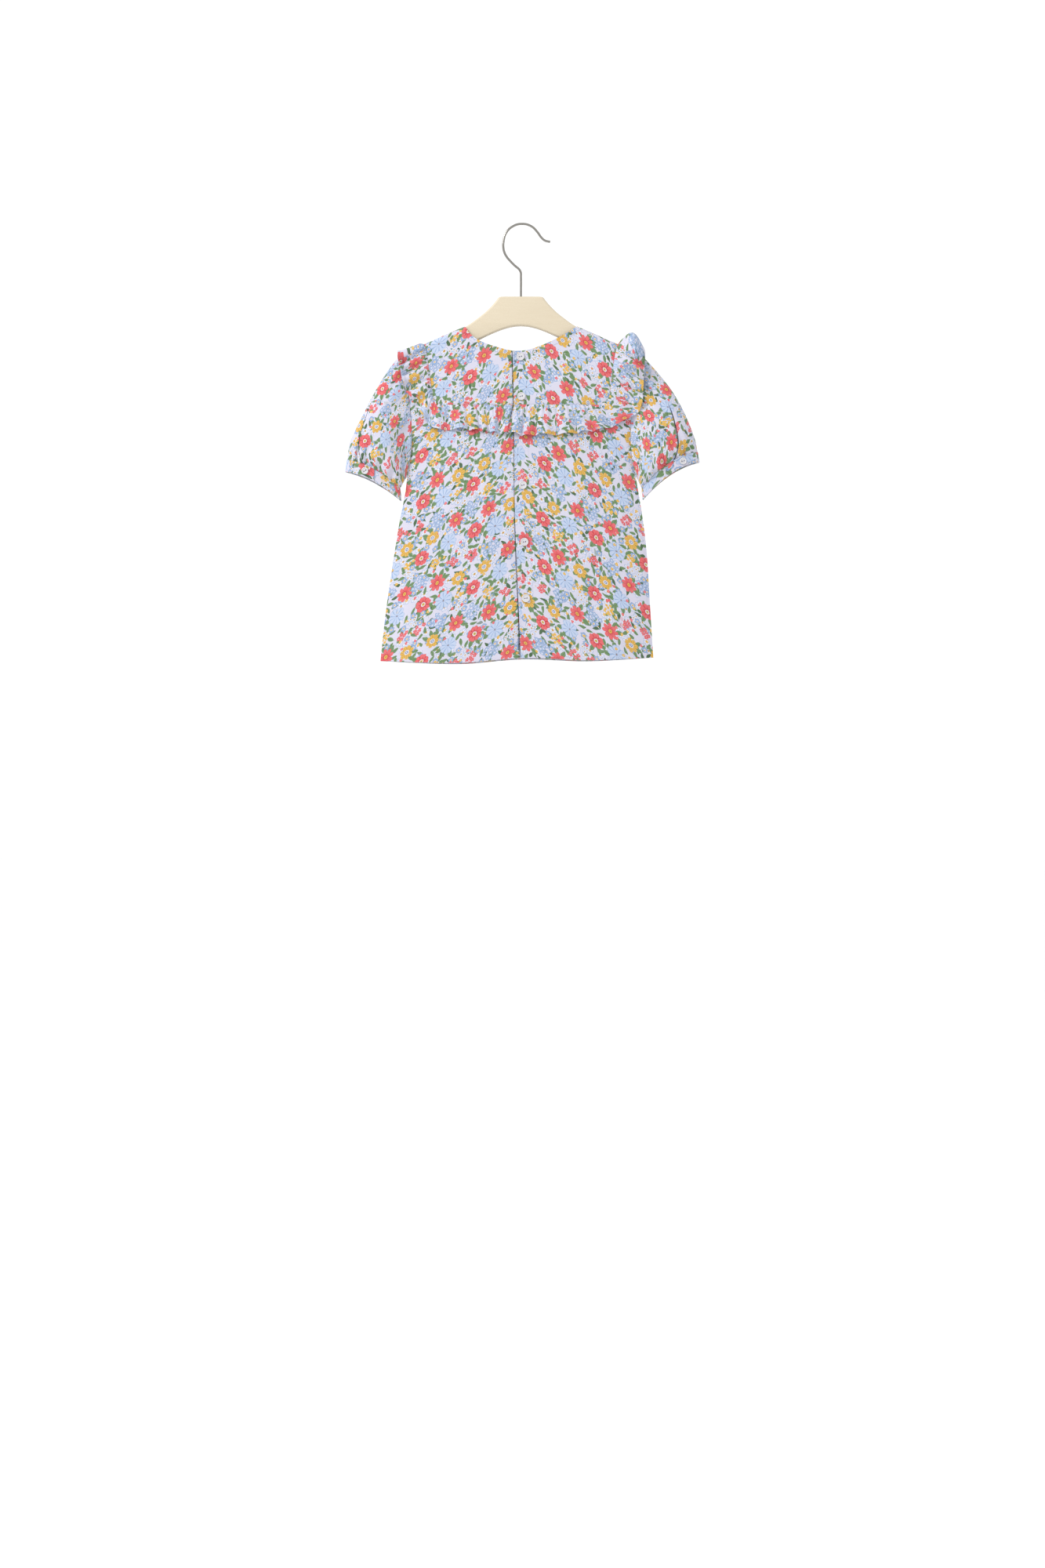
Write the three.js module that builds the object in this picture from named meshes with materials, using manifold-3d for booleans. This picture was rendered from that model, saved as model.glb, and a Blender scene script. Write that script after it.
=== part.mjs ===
// A child's short-sleeved blouse on its hanger, seen from the buttoned back.
// Millimetres, +Z up. The origin is the inside top of the hook, where a rail carries it.
// X runs across the shoulders and -Y is the buttoned back. Left and right are the wearer's,
// and wing is -1 on the left and 1 on the right. Face is -1 on the back and 1 on the front.
import * as THREE from "three";
import { mergeVertices } from "three/addons/utils/BufferGeometryUtils.js";
import Module from "manifold-3d";

const wasm = await Module();
wasm.setup();

// Cloth
const clothThickness = 1.2;
const seamGap = 0.3;
const ridgeDown = 0.33; // from the shoulder's top to the edge of each cloth that ends on it
const foldRadius = 6.9; // of the cloth's middle where it lies over the hanger's arms

// Garment
const neckHalfWidth = 72;
const neckPointZ = -130.5;
const shoulderSlope = 0.431;
const shoulderPointX = 152;
const underarmZ = -322;
const frontNeckDepth = 57;
const yokeSeamZ = -232;
const yokeCornerRadius = 18;
const yokeSideX = 114;
const yokeShoulderX = 125;
const underlapWidth = 20;
const cuffHeight = 15;

// Hanger
const hangerThickness = 8.4;
const hangerEdgeRound = 4;
const hangerClearance = 0.3;
const hangerArmEndX = 138;
const wireRadius = 1.5;
const wireSeatDepth = 12;

// Buttons
const buttonRadius = 5.1;
const cuffButtonRadius = 4.4;
const buttonThickness = 2.2;
const buttonHoleRadius = 0.8;
const buttonHoleSpacing = 2.8;

// Half-width of the body at each height, down the armholes and then the side seams
const bodySides = [
  { z: -110, left: 152, right: 152 },
  { z: -165, left: 152, right: 152 },
  { z: -190, left: 147.5, right: 147.5 },
  { z: -230, left: 142, right: 142.5 },
  { z: -270, left: 139.5, right: 140.5 },
  { z: -300, left: 141.5, right: 142.5 },
  { z: -322, left: 145.5, right: 147 },
  { z: -345, left: 148.5, right: 151 },
  { z: -383, left: 156, right: 157 },
  { z: -423, left: 162.5, right: 161.5 },
  { z: -480, left: 171, right: 165 },
  { z: -520, left: 176, right: 167.5 },
  { z: -575, left: 181.5, right: 171 },
];

// How far the body stands off its middle plane at its side edge, and how much more at its middle
const bodyDepths = [
  { z: -110, edge: 6.9, crown: 0 },
  { z: -165, edge: 6.9, crown: 1.5 },
  { z: -200, edge: 6.6, crown: 4.5 },
  { z: -250, edge: 4, crown: 9 },
  { z: -322, edge: 0.9, crown: 13.5 },
  { z: -400, edge: 0.9, crown: 15.5 },
  { z: -480, edge: 0.9, crown: 16 },
  { z: -575, edge: 0.9, crown: 16.5 },
];
const crownPower = 2.4;

// Soft folds that hang down to the hem: where they start, and how far they stand out at the hem
const bodyFolds = [
  { x: -128, width: 34, top: -380, height: 2.2 },
  { x: -66, width: 40, top: -330, height: 1.8 },
  { x: 58, width: 42, top: -350, height: 2 },
  { x: 122, width: 34, top: -370, height: 2.4 },
];

// The back neckline
const backNeck = [
  { x: -72, z: -130.5 },
  { x: -64, z: -141.5 },
  { x: -51, z: -150.5 },
  { x: -31.5, z: -157.3 },
  { x: -10, z: -162.5 },
  { x: 8, z: -161.5 },
  { x: 29, z: -154.5 },
  { x: 47, z: -146 },
  { x: 64, z: -136.5 },
  { x: 72, z: -130.5 },
];

// Free edge of the buttoned overlap, which leans a little from neck to hem
const overlapEdge = [
  { z: -150, x: -11 },
  { z: -235, x: -9 },
  { z: -375, x: -7.5 },
  { z: -523, x: -1.5 },
  { z: -575, x: 0.5 },
];

// The hem, which hangs a little lower on the wearer's left
const hemLine = [
  { x: -182, z: -559 },
  { x: -80, z: -562 },
  { x: -10, z: -556.5 },
  { x: 20, z: -556 },
  { x: 85, z: -558.5 },
  { x: 172, z: -554.5 },
];

// Outer fold of each sleeve from its armhole (0) to its cuff (1), and how deep the sleeve is there
const sleeveFolds = [
  { share: 0, leftX: 152.3, leftZ: -165, rightX: 152.3, rightZ: -165, depth: 7 },
  { share: 0.17, leftX: 170, leftZ: -184, rightX: 170.5, rightZ: -183, depth: 11 },
  { share: 0.37, leftX: 188, leftZ: -215, rightX: 190.5, rightZ: -208.5, depth: 16 },
  { share: 0.57, leftX: 203.5, leftZ: -246, rightX: 208, rightZ: -238.5, depth: 18 },
  { share: 0.78, leftX: 218, leftZ: -277, rightX: 221.5, rightZ: -271, depth: 17 },
  { share: 1, leftX: 222.5, leftZ: -301.5, rightX: 226.3, rightZ: -291.5, depth: 10 },
];
const sleeveRings = [0, 0.07, 0.16, 0.28, 0.44, 0.6, 0.76, 0.9, 1];
const sleeveInner = { x: 155, z: -337.5 };
const sleeveGathers = 16;
const gatherHeights = { head: 0.9, cuff: 1.7 };

// Lower edge of each cuff, its bow, and how far round the arm its band starts, is buttoned and ends
const cuffs = {
  left: { outerX: 225, outerZ: -316.5, innerX: 153.5, innerZ: -354, bow: 6 },
  right: { outerX: 228.5, outerZ: -304.5, innerX: 156.5, innerZ: -352.5, bow: 9 },
};
const cuffLaps = {
  left: { start: 0.185, button: 0.208, end: 0.2565 },
  right: { start: 0.163, button: 0.1865, end: 0.234 },
};

// Where the ruffle's free edge lies: at is 0 at the middle of the body and 1 on the shoulder
const ruffleEdges = [
  { at: 0, leftX: 14, leftZ: -268, rightX: -16.5, rightZ: -268, frontX: 0, frontZ: -268 },
  { at: 0.1, leftX: 30, leftZ: -268, rightX: 7, rightZ: -272, frontX: 22, frontZ: -268 },
  { at: 0.25, leftX: 52, leftZ: -266, rightX: 45, rightZ: -270, frontX: 54, frontZ: -268 },
  { at: 0.4, leftX: 82, leftZ: -263, rightX: 82, rightZ: -267, frontX: 86, frontZ: -266 },
  { at: 0.52, leftX: 108, leftZ: -263, rightX: 114, rightZ: -260, frontX: 116, frontZ: -259 },
  { at: 0.6, leftX: 125, leftZ: -247, rightX: 137, rightZ: -250, frontX: 136, frontZ: -246 },
  { at: 0.68, leftX: 140, leftZ: -224, rightX: 153, rightZ: -236, frontX: 148, frontZ: -228 },
  { at: 0.78, leftX: 150, leftZ: -205, rightX: 156, rightZ: -212, frontX: 154, frontZ: -207 },
  { at: 0.88, leftX: 154, leftZ: -186, rightX: 157, rightZ: -190, frontX: 156.5, frontZ: -188 },
  { at: 1, leftX: 158.5, leftZ: -167.5, rightX: 158.5, rightZ: -167.5, frontX: 158.5, frontZ: -167.5 },
];
const ruffleStart = { left: -11, right: -8.7 };
const ruffleRise = { root: 1.6, edge: 5.6, shoulder: 1 };
const ruffleWaves = 11; // from the middle to the shoulder
const ruffleWaveHeight = 3;
const rightShoulderPuff = 19; // the frill arches up where it crosses the wearer's right shoulder

// Buttons down the back overlap
const backButtons = [
  { name: "button_1", x: -0.7, z: -170.5 },
  { name: "button_2", x: 0.5, z: -221.8 },
  { name: "button_3", x: 2.5, z: -335.5 },
  { name: "button_4", x: 4.4, z: -408 },
  { name: "button_5", x: 6.3, z: -480 },
];

// Half of the hanger's outline: its top and its slope down to the cloth, and the arch below
const hangerTop = [
  { x: 0, z: -92 },
  { x: 24, z: -92 },
  { x: 28.5, z: -93.2 },
  { x: 31.5, z: -97 },
  { x: 36, z: -102.5 },
  { x: 46, z: -112.5 },
  { x: 54, z: -118.8 },
  { x: 63, z: -125.6 },
];
const hangerArch = [
  { x: 118, z: -174 },
  { x: 96, z: -165.5 },
  { x: 74, z: -156.5 },
  { x: 56, z: -148.5 },
  { x: 44, z: -142.5 },
  { x: 32, z: -137.2 },
  { x: 20, z: -132.8 },
  { x: 9, z: -130.3 },
  { x: 0, z: -129.6 },
];

// Middle line of the hook's wire, from above its seat in the hanger round to its tip
const hookLine = [
  { x: 0, z: -66 },
  { x: -0.3, z: -60.5 },
  { x: -2.5, z: -56.6 },
  { x: -7.4, z: -52.5 },
  { x: -13.4, z: -46.5 },
  { x: -18.4, z: -40.5 },
  { x: -21.4, z: -34.5 },
  { x: -22.6, z: -28.5 },
  { x: -22.5, z: -22.5 },
  { x: -19.3, z: -10.5 },
  { x: -10.5, z: -1.7 },
  { x: 1.5, z: 1.5 },
  { x: 13.5, z: -1.7 },
  { x: 21.5, z: -9.5 },
  { x: 26, z: -15.8 },
  { x: 31, z: -20 },
  { x: 37.5, z: -21.5 },
];

const finishes = {
  print: { color: 0xc9cbdc, roughness: 0.9, metalness: 0 },
  pearl: { color: 0xf3f1ec, roughness: 0.3, metalness: 0 },
  cream: { color: 0xefe3c8, roughness: 0.55, metalness: 0 },
  chrome: { color: 0xc4c0ba, roughness: 0.16, metalness: 1 },
};

const halfCloth = clothThickness / 2;
const halfGap = seamGap / 2;
const quarterFold = (foldRadius * Math.PI) / 2;
const lowestZ = -560; // about the hem
const mix = (a, b, t) => a + (b - a) * t;
const clamp01 = (t) => Math.min(1, Math.max(0, t));
const ease = (from, to, value) => {
  const t = clamp01((value - from) / (to - from));
  return t * t * (3 - 2 * t);
};
const steps = (count, at) => Array.from({ length: count + 1 }, (_, i) => at(i / count, i));
const sideOf = (wing) => (wing < 0 ? "left" : "right");

// Smooth reading of a table: the column wanted where the column key has the value at.
function read(table, key, wanted, at) {
  const rising = table[1][key] > table[0][key] ? 1 : -1;
  let i = 0;
  while (i < table.length - 2 && (at - table[i + 1][key]) * rising > 0) i += 1;
  const [p, q] = [table[i], table[i + 1]];
  const before = table[i - 1] || p;
  const after = table[i + 2] || q;
  const span = q[key] - p[key];
  const slopeIn = ((q[wanted] - before[wanted]) / (q[key] - before[key])) * span;
  const slopeOut = ((after[wanted] - p[wanted]) / (after[key] - p[key])) * span;
  const t = clamp01((at - p[key]) / span);
  const t2 = t * t;
  const t3 = t2 * t;
  const ends = (2 * t3 - 3 * t2 + 1) * p[wanted] + (3 * t2 - 2 * t3) * q[wanted];
  return ends + (t3 - 2 * t2 + t) * slopeIn + (t3 - t2) * slopeOut;
}

// A place on the body has an x, and down: the length of cloth below the top of the shoulder.
const ridgeZ = (x) => neckPointZ - shoulderSlope * (Math.abs(x) - neckHalfWidth);
const sideX = (z, wing) => read(bodySides, "z", sideOf(wing), z);

function downAt(x, z) {
  const drop = Math.max(0, ridgeZ(x) - z);
  return drop < foldRadius
    ? foldRadius * Math.acos(1 - drop / foldRadius)
    : quarterFold + drop - foldRadius;
}

function zAt({ x, down }) {
  return down < quarterFold
    ? ridgeZ(x) - foldRadius * (1 - Math.cos(down / foldRadius))
    : ridgeZ(x) - foldRadius - (down - quarterFold);
}

function bodyDepth(x, z) {
  const share = Math.min(1, Math.abs(x) / sideX(z, x));
  let depth = read(bodyDepths, "z", "edge", z);
  depth += read(bodyDepths, "z", "crown", z) * (1 - share ** crownPower);
  for (const fold of bodyFolds) {
    const aside = (x - fold.x) / fold.width;
    const height = fold.height * ease(fold.top, lowestZ, z) * (1 - share ** 8);
    depth += height * Math.exp(-aside * aside);
  }
  return depth;
}

// The point of the body's middle surface at a place, moved outward by out.
function bodyPoint(place, face, out = 0) {
  const { x, down } = place;
  if (down < quarterFold) {
    const turn = down / foldRadius;
    const radius = foldRadius + out;
    const z = ridgeZ(x) - foldRadius + radius * Math.cos(turn);
    return new THREE.Vector3(x, face * radius * Math.sin(turn), z);
  }
  const z = zAt(place);
  const settle = ease(0, foldRadius * 3, down - quarterFold);
  return new THREE.Vector3(x, face * (mix(foldRadius, bodyDepth(x, z), settle) + out), z);
}

// A place part of the way between two places.
function between(a, b, t) {
  const x = mix(a.x, b.x, t);
  if (Math.min(a.down, b.down) < quarterFold) return { x, down: mix(a.down, b.down, t) };
  return { x, down: downAt(x, mix(zAt(a), zAt(b), t)) };
}

// A sheet is the middle of a cloth: points in a grid, and the quads between them.
function gridSheet(columns, rows, pointAt, around = false) {
  const width = around ? columns : columns + 1;
  const points = [];
  for (let row = 0; row <= rows; row += 1) {
    for (let column = 0; column < width; column += 1) points.push(pointAt(column, row));
  }
  const at = (column, row) => (column % width) + row * width;
  const quads = [];
  for (let row = 0; row < rows; row += 1) {
    for (let column = 0; column < columns; column += 1) {
      const next = column + 1;
      quads.push([at(column, row), at(next, row), at(next, row + 1), at(column, row + 1)]);
    }
  }
  return { points, quads };
}

// One sheet out of two that share an edge. The second is a mirrored grid, so its quads turn round.
function weldedSheets(first, second) {
  const key = (point) => point.toArray().map((value) => (value + 0).toFixed(4)).join();
  const places = new Map(first.points.map((point, index) => [key(point), index]));
  const points = [...first.points];
  const moved = second.points.map((point) => {
    const shared = places.get(key(point));
    if (shared !== undefined) return shared;
    return points.push(point) - 1;
  });
  const turned = second.quads.map((quad) => quad.map((index) => moved[index]).reverse());
  return { points, quads: [...first.quads, ...turned] };
}

// The closed wall of cloth about a sheet: two faces, and a rim along each open edge.
function clothWall({ points, quads }) {
  const normals = points.map(() => new THREE.Vector3());
  const edges = new Map();
  for (const quad of quads) {
    const [a, b, c, d] = quad.map((index) => points[index]);
    const normal = c.clone().sub(a).cross(d.clone().sub(b));
    quad.forEach((index, i) => {
      normals[index].add(normal);
      const next = quad[(i + 1) % 4];
      if (!edges.delete(`${next},${index}`)) edges.set(`${index},${next}`, [index, next]);
    });
  }
  const position = [];
  for (const side of [halfCloth, -halfCloth]) {
    points.forEach((point, i) => {
      position.push(...point.clone().addScaledVector(normals[i].normalize(), side).toArray());
    });
  }
  const under = points.length;
  const index = [];
  const quadFace = (a, b, c, d) => index.push(a, b, c, a, c, d);
  for (const [a, b, c, d] of quads) {
    quadFace(a, b, c, d);
    quadFace(d + under, c + under, b + under, a + under);
  }
  for (const [a, b] of edges.values()) quadFace(b, a, a + under, b + under);
  const geometry = new THREE.BufferGeometry();
  geometry.setAttribute("position", new THREE.Float32BufferAttribute(position, 3));
  return geometry.setIndex(index);
}

// Places along the yoke's seam, from the middle round the corner and up to the shoulder's top.
const seamSteps = { level: 8, corner: 5, rise: 5, fold: 3 };
const foldStep = quarterFold / seamSteps.fold;
function seamPlaces(wing, startX, grow) {
  const cornerX = yokeSideX - yokeCornerRadius;
  const cornerZ = yokeSeamZ + yokeCornerRadius;
  const radius = yokeCornerRadius + grow;
  const places = [];
  const put = (x, z) => places.push({ x, down: downAt(x, z) });
  for (let i = 0; i < seamSteps.level; i += 1) {
    put(mix(startX, wing * cornerX, i / seamSteps.level), yokeSeamZ - grow);
  }
  for (let i = 0; i < seamSteps.corner; i += 1) {
    const angle = ((i / seamSteps.corner) * Math.PI) / 2;
    put(wing * (cornerX + radius * Math.sin(angle)), cornerZ - radius * Math.cos(angle));
  }
  const riseDown = downAt(yokeSideX, cornerZ);
  const putRise = (down) => {
    const rise = mix(yokeShoulderX, yokeSideX, (down / riseDown) ** 0.7);
    places.push({ x: wing * (rise + grow), down: Math.max(ridgeDown, down) });
  };
  for (let i = 0; i < seamSteps.rise; i += 1) putRise(mix(riseDown, quarterFold, i / seamSteps.rise));
  for (let i = seamSteps.fold; i >= 0; i -= 1) putRise(i * foldStep);
  return places;
}

const backNeckZ = (x) => read(backNeck, "x", "z", x);
const frontNeckZ = (x) => neckPointZ - frontNeckDepth * (1 - (Math.abs(x) / neckHalfWidth) ** 2.6);
const overlapX = (z) => read(overlapEdge, "z", "x", z);
const underlapX = (z) => overlapX(z) + underlapWidth;
const centreX = () => 0;
const hemZ = (x) => read(hemLine, "x", "z", x);

// Places along the top of a yoke: round the neck, then part of the way along the shoulder.
const yokeTopEndX = 97;
const yokeShoulderSteps = 4;
function yokeTopPlaces(wing, startX, neckZ, count) {
  const neck = steps(count - yokeShoulderSteps, (t) => {
    const x = mix(wing * neckHalfWidth, startX, (1 - t) ** 2);
    return { x, down: Math.max(ridgeDown, downAt(x, neckZ(x))) };
  });
  const shoulder = steps(yokeShoulderSteps, (t) => {
    return { x: wing * mix(neckHalfWidth, yokeTopEndX, t), down: ridgeDown };
  });
  return [...neck, ...shoulder.slice(1)];
}

// The cloth dips where its edge lies under the buttoned overlap.
const dip = { depth: clothThickness + seamGap + 0.1, start: -14, end: -2.5 }; // from the overlap's edge
function layPoint(place, face, dips) {
  const point = bodyPoint(place, face);
  if (dips) point.y -= face * dip.depth * ease(dip.start, dip.end, point.x - overlapX(point.z));
  return point;
}

// A yoke runs from its top line down to its seam. Its first rows are close, for the shoulder's fold.
const yokeRows = 6;
function yokeSheet(wing, startX, face, neckZ, dips) {
  const seam = seamPlaces(wing, startX(yokeSeamZ), -halfGap);
  const count = seam.length - 1;
  const top = yokeTopPlaces(wing, startX(neckZ(0)), neckZ, count);
  return gridSheet(count, yokeRows, (column, row) => {
    const [a, b] = [top[column], seam[column]];
    const length = Math.hypot(b.x - a.x, b.down - a.down);
    const close = (Math.min(seamSteps.fold, row) * foldStep) / length;
    const far = Math.max(0, row - seamSteps.fold) / (yokeRows - seamSteps.fold);
    return layPoint(between(a, b, mix(close, 1, far)), face, dips);
  });
}

// A place on the armhole, where share is 0 on the shoulder and 1 at the underarm.
const armholeLength = downAt(shoulderPointX, underarmZ);
function armholePlace(wing, down, grow) {
  const z = zAt({ x: shoulderPointX, down });
  const x = sideX(z, wing);
  const step = (ridgeZ(x) - ridgeZ(shoulderPointX)) * clamp01(down / quarterFold);
  return { x: wing * (x + grow), down: down + step };
}

// A panel runs round its yoke to the armhole, and then from the middle to the side, down to the hem.
const panelColumns = { plain: 6, dipping: 8 };
const panelLowerRows = 9;
// The first columns of a panel that dips stand where its dip ends and where it begins.
function dippingShare(column, inner, width) {
  const fromEdge = inner.x - overlapX(zAt(inner));
  const dipEnd = Math.max(0.1, (fromEdge - dip.end) / width);
  const dipStart = Math.max(dipEnd + 0.08, (fromEdge - dip.start) / width);
  if (column < 3) return [0, dipEnd, dipStart][column];
  return mix(dipStart, 1, (column - 2) / (panelColumns.dipping - 2));
}

function panelSheet(wing, startX, face, dips) {
  const seam = seamPlaces(wing, startX(yokeSeamZ), halfGap).reverse();
  const upperRows = seam.length - 1;
  const armhole = steps(upperRows, (_, i) => {
    const far = Math.max(0, i - seamSteps.fold) / (upperRows - seamSteps.fold);
    const close = Math.max(ridgeDown, Math.min(seamSteps.fold, i) * foldStep);
    return armholePlace(wing, mix(close, armholeLength, far), -halfGap);
  });
  const middleHem = hemZ(startX(lowestZ));
  const sideHem = hemZ(wing * 180);
  const middle = steps(panelLowerRows, (t) => {
    const z = mix(yokeSeamZ - halfGap, middleHem, t);
    return { x: startX(z), down: downAt(startX(z), z) };
  });
  const sideSeam = steps(panelLowerRows, (t) => {
    const z = mix(underarmZ, sideHem, t ** 1.1);
    const x = wing * sideX(z, wing);
    return { x, down: downAt(x, z) };
  });
  const inner = [...seam, ...middle.slice(1)];
  const outer = [...armhole, ...sideSeam.slice(1)];
  const columns = dips ? panelColumns.dipping : panelColumns.plain;
  return gridSheet(columns, inner.length - 1, (column, row) => {
    const width = Math.abs(outer[row].x - inner[row].x);
    const share = dips ? dippingShare(column, inner[row], width) : column / columns;
    const place = between(inner[row], outer[row], share);
    const low = ease(upperRows, inner.length - 1, row);
    place.down -= (hemZ(place.x) - mix(middleHem, sideHem, share)) * low;
    return layPoint(place, face, dips);
  });
}

// A sleeve is a fan of flattened rings that spread from the underarm. Turn goes once round a ring:
// 0 is the outer fold, the back comes first, and 0.5 is the underarm. Across is 0 to 1 between them.
const across = (turn) => {
  const t = turn < 0.5 ? turn * 2 : 2 - turn * 2;
  return t - (0.75 * Math.sin(2 * Math.PI * t)) / (2 * Math.PI);
};
const creaseHalfGap = 0.8; // each face of a pressed fold stands this far off its middle
const flatRound = (q) => 2 * Math.sqrt(q * (1 - q));

function sleeveFold(wing, share) {
  const column = (name) => read(sleeveFolds, "share", name, share);
  return { x: column(`${sideOf(wing)}X`), z: column(`${sideOf(wing)}Z`), depth: column("depth") };
}

function sleevePoint(wing, share, turn) {
  const face = turn < 0.5 ? -1 : 1;
  const q = across(turn);
  const fold = sleeveFold(wing, share);
  const bow = cuffs[sideOf(wing)].bow * share * 4 * q * (1 - q);
  const ring = new THREE.Vector3(
    wing * mix(fold.x, mix(sideX(underarmZ, wing) + 1, sleeveInner.x, share), q),
    face * (fold.depth * flatRound(q) + creaseHalfGap),
    mix(fold.z, mix(underarmZ, sleeveInner.z, share), q) + bow,
  );
  const apart = halfGap + 0.2 + 0.25 * ease(0.6, 1, q);
  const edge = bodyPoint(armholePlace(wing, q * armholeLength, apart), face);
  const point = edge.lerp(ring, ease(0, 0.42, share));
  const head = gatherHeights.head * ease(0, 0.12, share) * (1 - ease(0.2, 0.6, share));
  const cuff = gatherHeights.cuff * ease(0.45, 0.92, share);
  const flank = ease(0.02, 0.16, q) * (1 - ease(0.84, 0.98, q));
  point.y += face * Math.cos(2 * Math.PI * sleeveGathers * turn) * (head + cuff) * flank;
  return point;
}

const ringColumns = sleeveGathers * 4;
function sleeveSheet(wing) {
  const pointAt = (column, row) => {
    return sleevePoint(wing, sleeveRings[row], (column + 0.5) / ringColumns);
  };
  return gridSheet(ringColumns, sleeveRings.length - 1, pointAt, true);
}

// A cuff is a band below the sleeve. Its end laps over its start on the back of the arm.
function cuffPoint(wing, turn, drop) {
  const round = ((turn % 1) + 1) % 1;
  const face = round < 0.5 ? -1 : 1;
  const q = across(round);
  const low = cuffs[sideOf(wing)];
  const fold = sleeveFold(wing, 1);
  return new THREE.Vector3(
    wing * mix(mix(fold.x, sleeveInner.x, q), mix(low.outerX, low.innerX, q), drop),
    face * ((fold.depth - 0.8 * drop) * flatRound(q) + creaseHalfGap),
    mix(mix(fold.z, sleeveInner.z, q), mix(low.outerZ, low.innerZ, q), drop) + low.bow * 4 * q * (1 - q),
  );
}

const cuffColumns = 40;
function cuffSheet(wing) {
  const lap = cuffLaps[sideOf(wing)];
  return gridSheet(cuffColumns, 1, (column, row) => {
    const turn = mix(lap.start, 1 + lap.end, column / cuffColumns);
    const apart = mix(seamGap + 0.2, seamGap + 0.9, across(turn % 1) ** 3);
    const point = cuffPoint(wing, turn, mix(apart / cuffHeight, 1, row));
    point.y -= ease(lap.start - 0.035, lap.start - 0.008, turn - 1) * (clothThickness + seamGap);
    return point;
  });
}

// Reads a path of places by its share of the whole length.
function pathThrough(places) {
  const lengths = [0];
  for (let i = 1; i < places.length; i += 1) {
    const [a, b] = [places[i - 1], places[i]];
    lengths.push(lengths[i - 1] + Math.hypot(b.x - a.x, b.down - a.down));
  }
  return (share) => {
    const target = share * lengths[lengths.length - 1];
    let i = 0;
    while (i < places.length - 2 && lengths[i + 1] < target) i += 1;
    const t = (target - lengths[i]) / (lengths[i + 1] - lengths[i]);
    return { x: mix(places[i].x, places[i + 1].x, t), down: mix(places[i].down, places[i + 1].down, t) };
  };
}

// A ruffle stands out of the yoke's seam, and lies in waves over the panel and the sleeve's head.
const ruffleRows = 3;
const ruffleColumns = ruffleWaves * 4;
function ruffleSheet(wing, startX, face, edge, extraOut) {
  const root = pathThrough(seamPlaces(wing, startX, seamGap));
  return gridSheet(ruffleColumns, ruffleRows, (column, row) => {
    const at = column / ruffleColumns;
    const v = row / ruffleRows;
    const x = wing * read(ruffleEdges, "at", `${edge}X`, at);
    const z = read(ruffleEdges, "at", `${edge}Z`, at);
    const down = column === ruffleColumns ? ridgeDown : downAt(x, z);
    const from = root(at);
    const place = { x: mix(from.x, x, v), down: mix(from.down, down, v) };
    const shoulder = ease(0.62, 0.95, at);
    const wave = -Math.cos(2 * Math.PI * (ruffleWaves * at + 0.25 * Math.sin(2 * Math.PI * at)));
    const swing = ruffleWaveHeight * v ** 1.2 * (1 + 0.3 * shoulder);
    const rise = ruffleRise.root + 0.9 * shoulder + (ruffleRise.edge + ruffleRise.shoulder * shoulder) * v;
    const beyond = 0.3 * Math.max(0, Math.abs(place.x) - sideX(zAt(place), wing));
    return bodyPoint(place, face, rise + swing * wave + beyond + extraOut(at, v));
  });
}

const noExtra = () => 0;
const shoulderPuff = (at, v) => rightShoulderPuff * ease(0.8, 1, at) * Math.sin(Math.PI * v ** 1.2);
const overlapLift = (at, v) => 2.6 * (1 - ease(0, 0.12, at)) * v;
const underLower = (at, v) => -1.6 * (1 - ease(0, 0.1, at)) * v;

const part = new THREE.Group();
function add(name, geometry, finish) {
  const mesh = new THREE.Mesh(geometry, new THREE.MeshStandardMaterial(finishes[finish]));
  mesh.name = name;
  geometry.computeVertexNormals();
  part.add(mesh);
}

const addCloth = (name, sheet) => add(name, clothWall(sheet), "print");
const bothWings = (sheetOf) => weldedSheets(sheetOf(-1), sheetOf(1));

// Body
addCloth("back_yoke_left", yokeSheet(-1, underlapX, -1, backNeckZ, true));
addCloth("back_yoke_right", yokeSheet(1, overlapX, -1, backNeckZ, false));
addCloth("back_panel_left", panelSheet(-1, underlapX, -1, true));
addCloth("back_panel_right", panelSheet(1, overlapX, -1, false));
addCloth("front_yoke", bothWings((wing) => yokeSheet(wing, centreX, 1, frontNeckZ, false)));
addCloth("front_panel", bothWings((wing) => panelSheet(wing, centreX, 1, false)));

// Sleeves and cuffs
for (const wing of [-1, 1]) {
  addCloth(`sleeve_${sideOf(wing)}`, sleeveSheet(wing));
  addCloth(`cuff_${sideOf(wing)}`, cuffSheet(wing));
}

// Ruffles
const rightExtra = (at, v) => shoulderPuff(at, v) + overlapLift(at, v);
addCloth("ruffle_back_left", ruffleSheet(-1, ruffleStart.left, -1, "left", underLower));
addCloth("ruffle_back_right", ruffleSheet(1, ruffleStart.right, -1, "right", rightExtra));
const frontRuffle = (wing) => ruffleSheet(wing, 0, 1, "front", wing > 0 ? shoulderPuff : noExtra);
addCloth("ruffle_front", bothWings(frontRuffle));

// Solids that are cut with one another
function solidOf(geometry) {
  const bare = new THREE.BufferGeometry();
  bare.setAttribute("position", geometry.getAttribute("position").clone());
  if (geometry.index) bare.setIndex(geometry.index.clone());
  const welded = mergeVertices(bare, 1e-4);
  const vertProperties = new Float32Array(welded.getAttribute("position").array);
  const triVerts = new Uint32Array(welded.index.array);
  return new wasm.Manifold(new wasm.Mesh({ numProp: 3, vertProperties, triVerts }));
}

function geometryOf(solid) {
  const mesh = solid.getMesh();
  const geometry = new THREE.BufferGeometry();
  const position = new Float32Array(mesh.vertProperties);
  geometry.setAttribute("position", new THREE.BufferAttribute(position, 3));
  return geometry.setIndex(new THREE.BufferAttribute(new Uint32Array(mesh.triVerts), 1));
}

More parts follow.
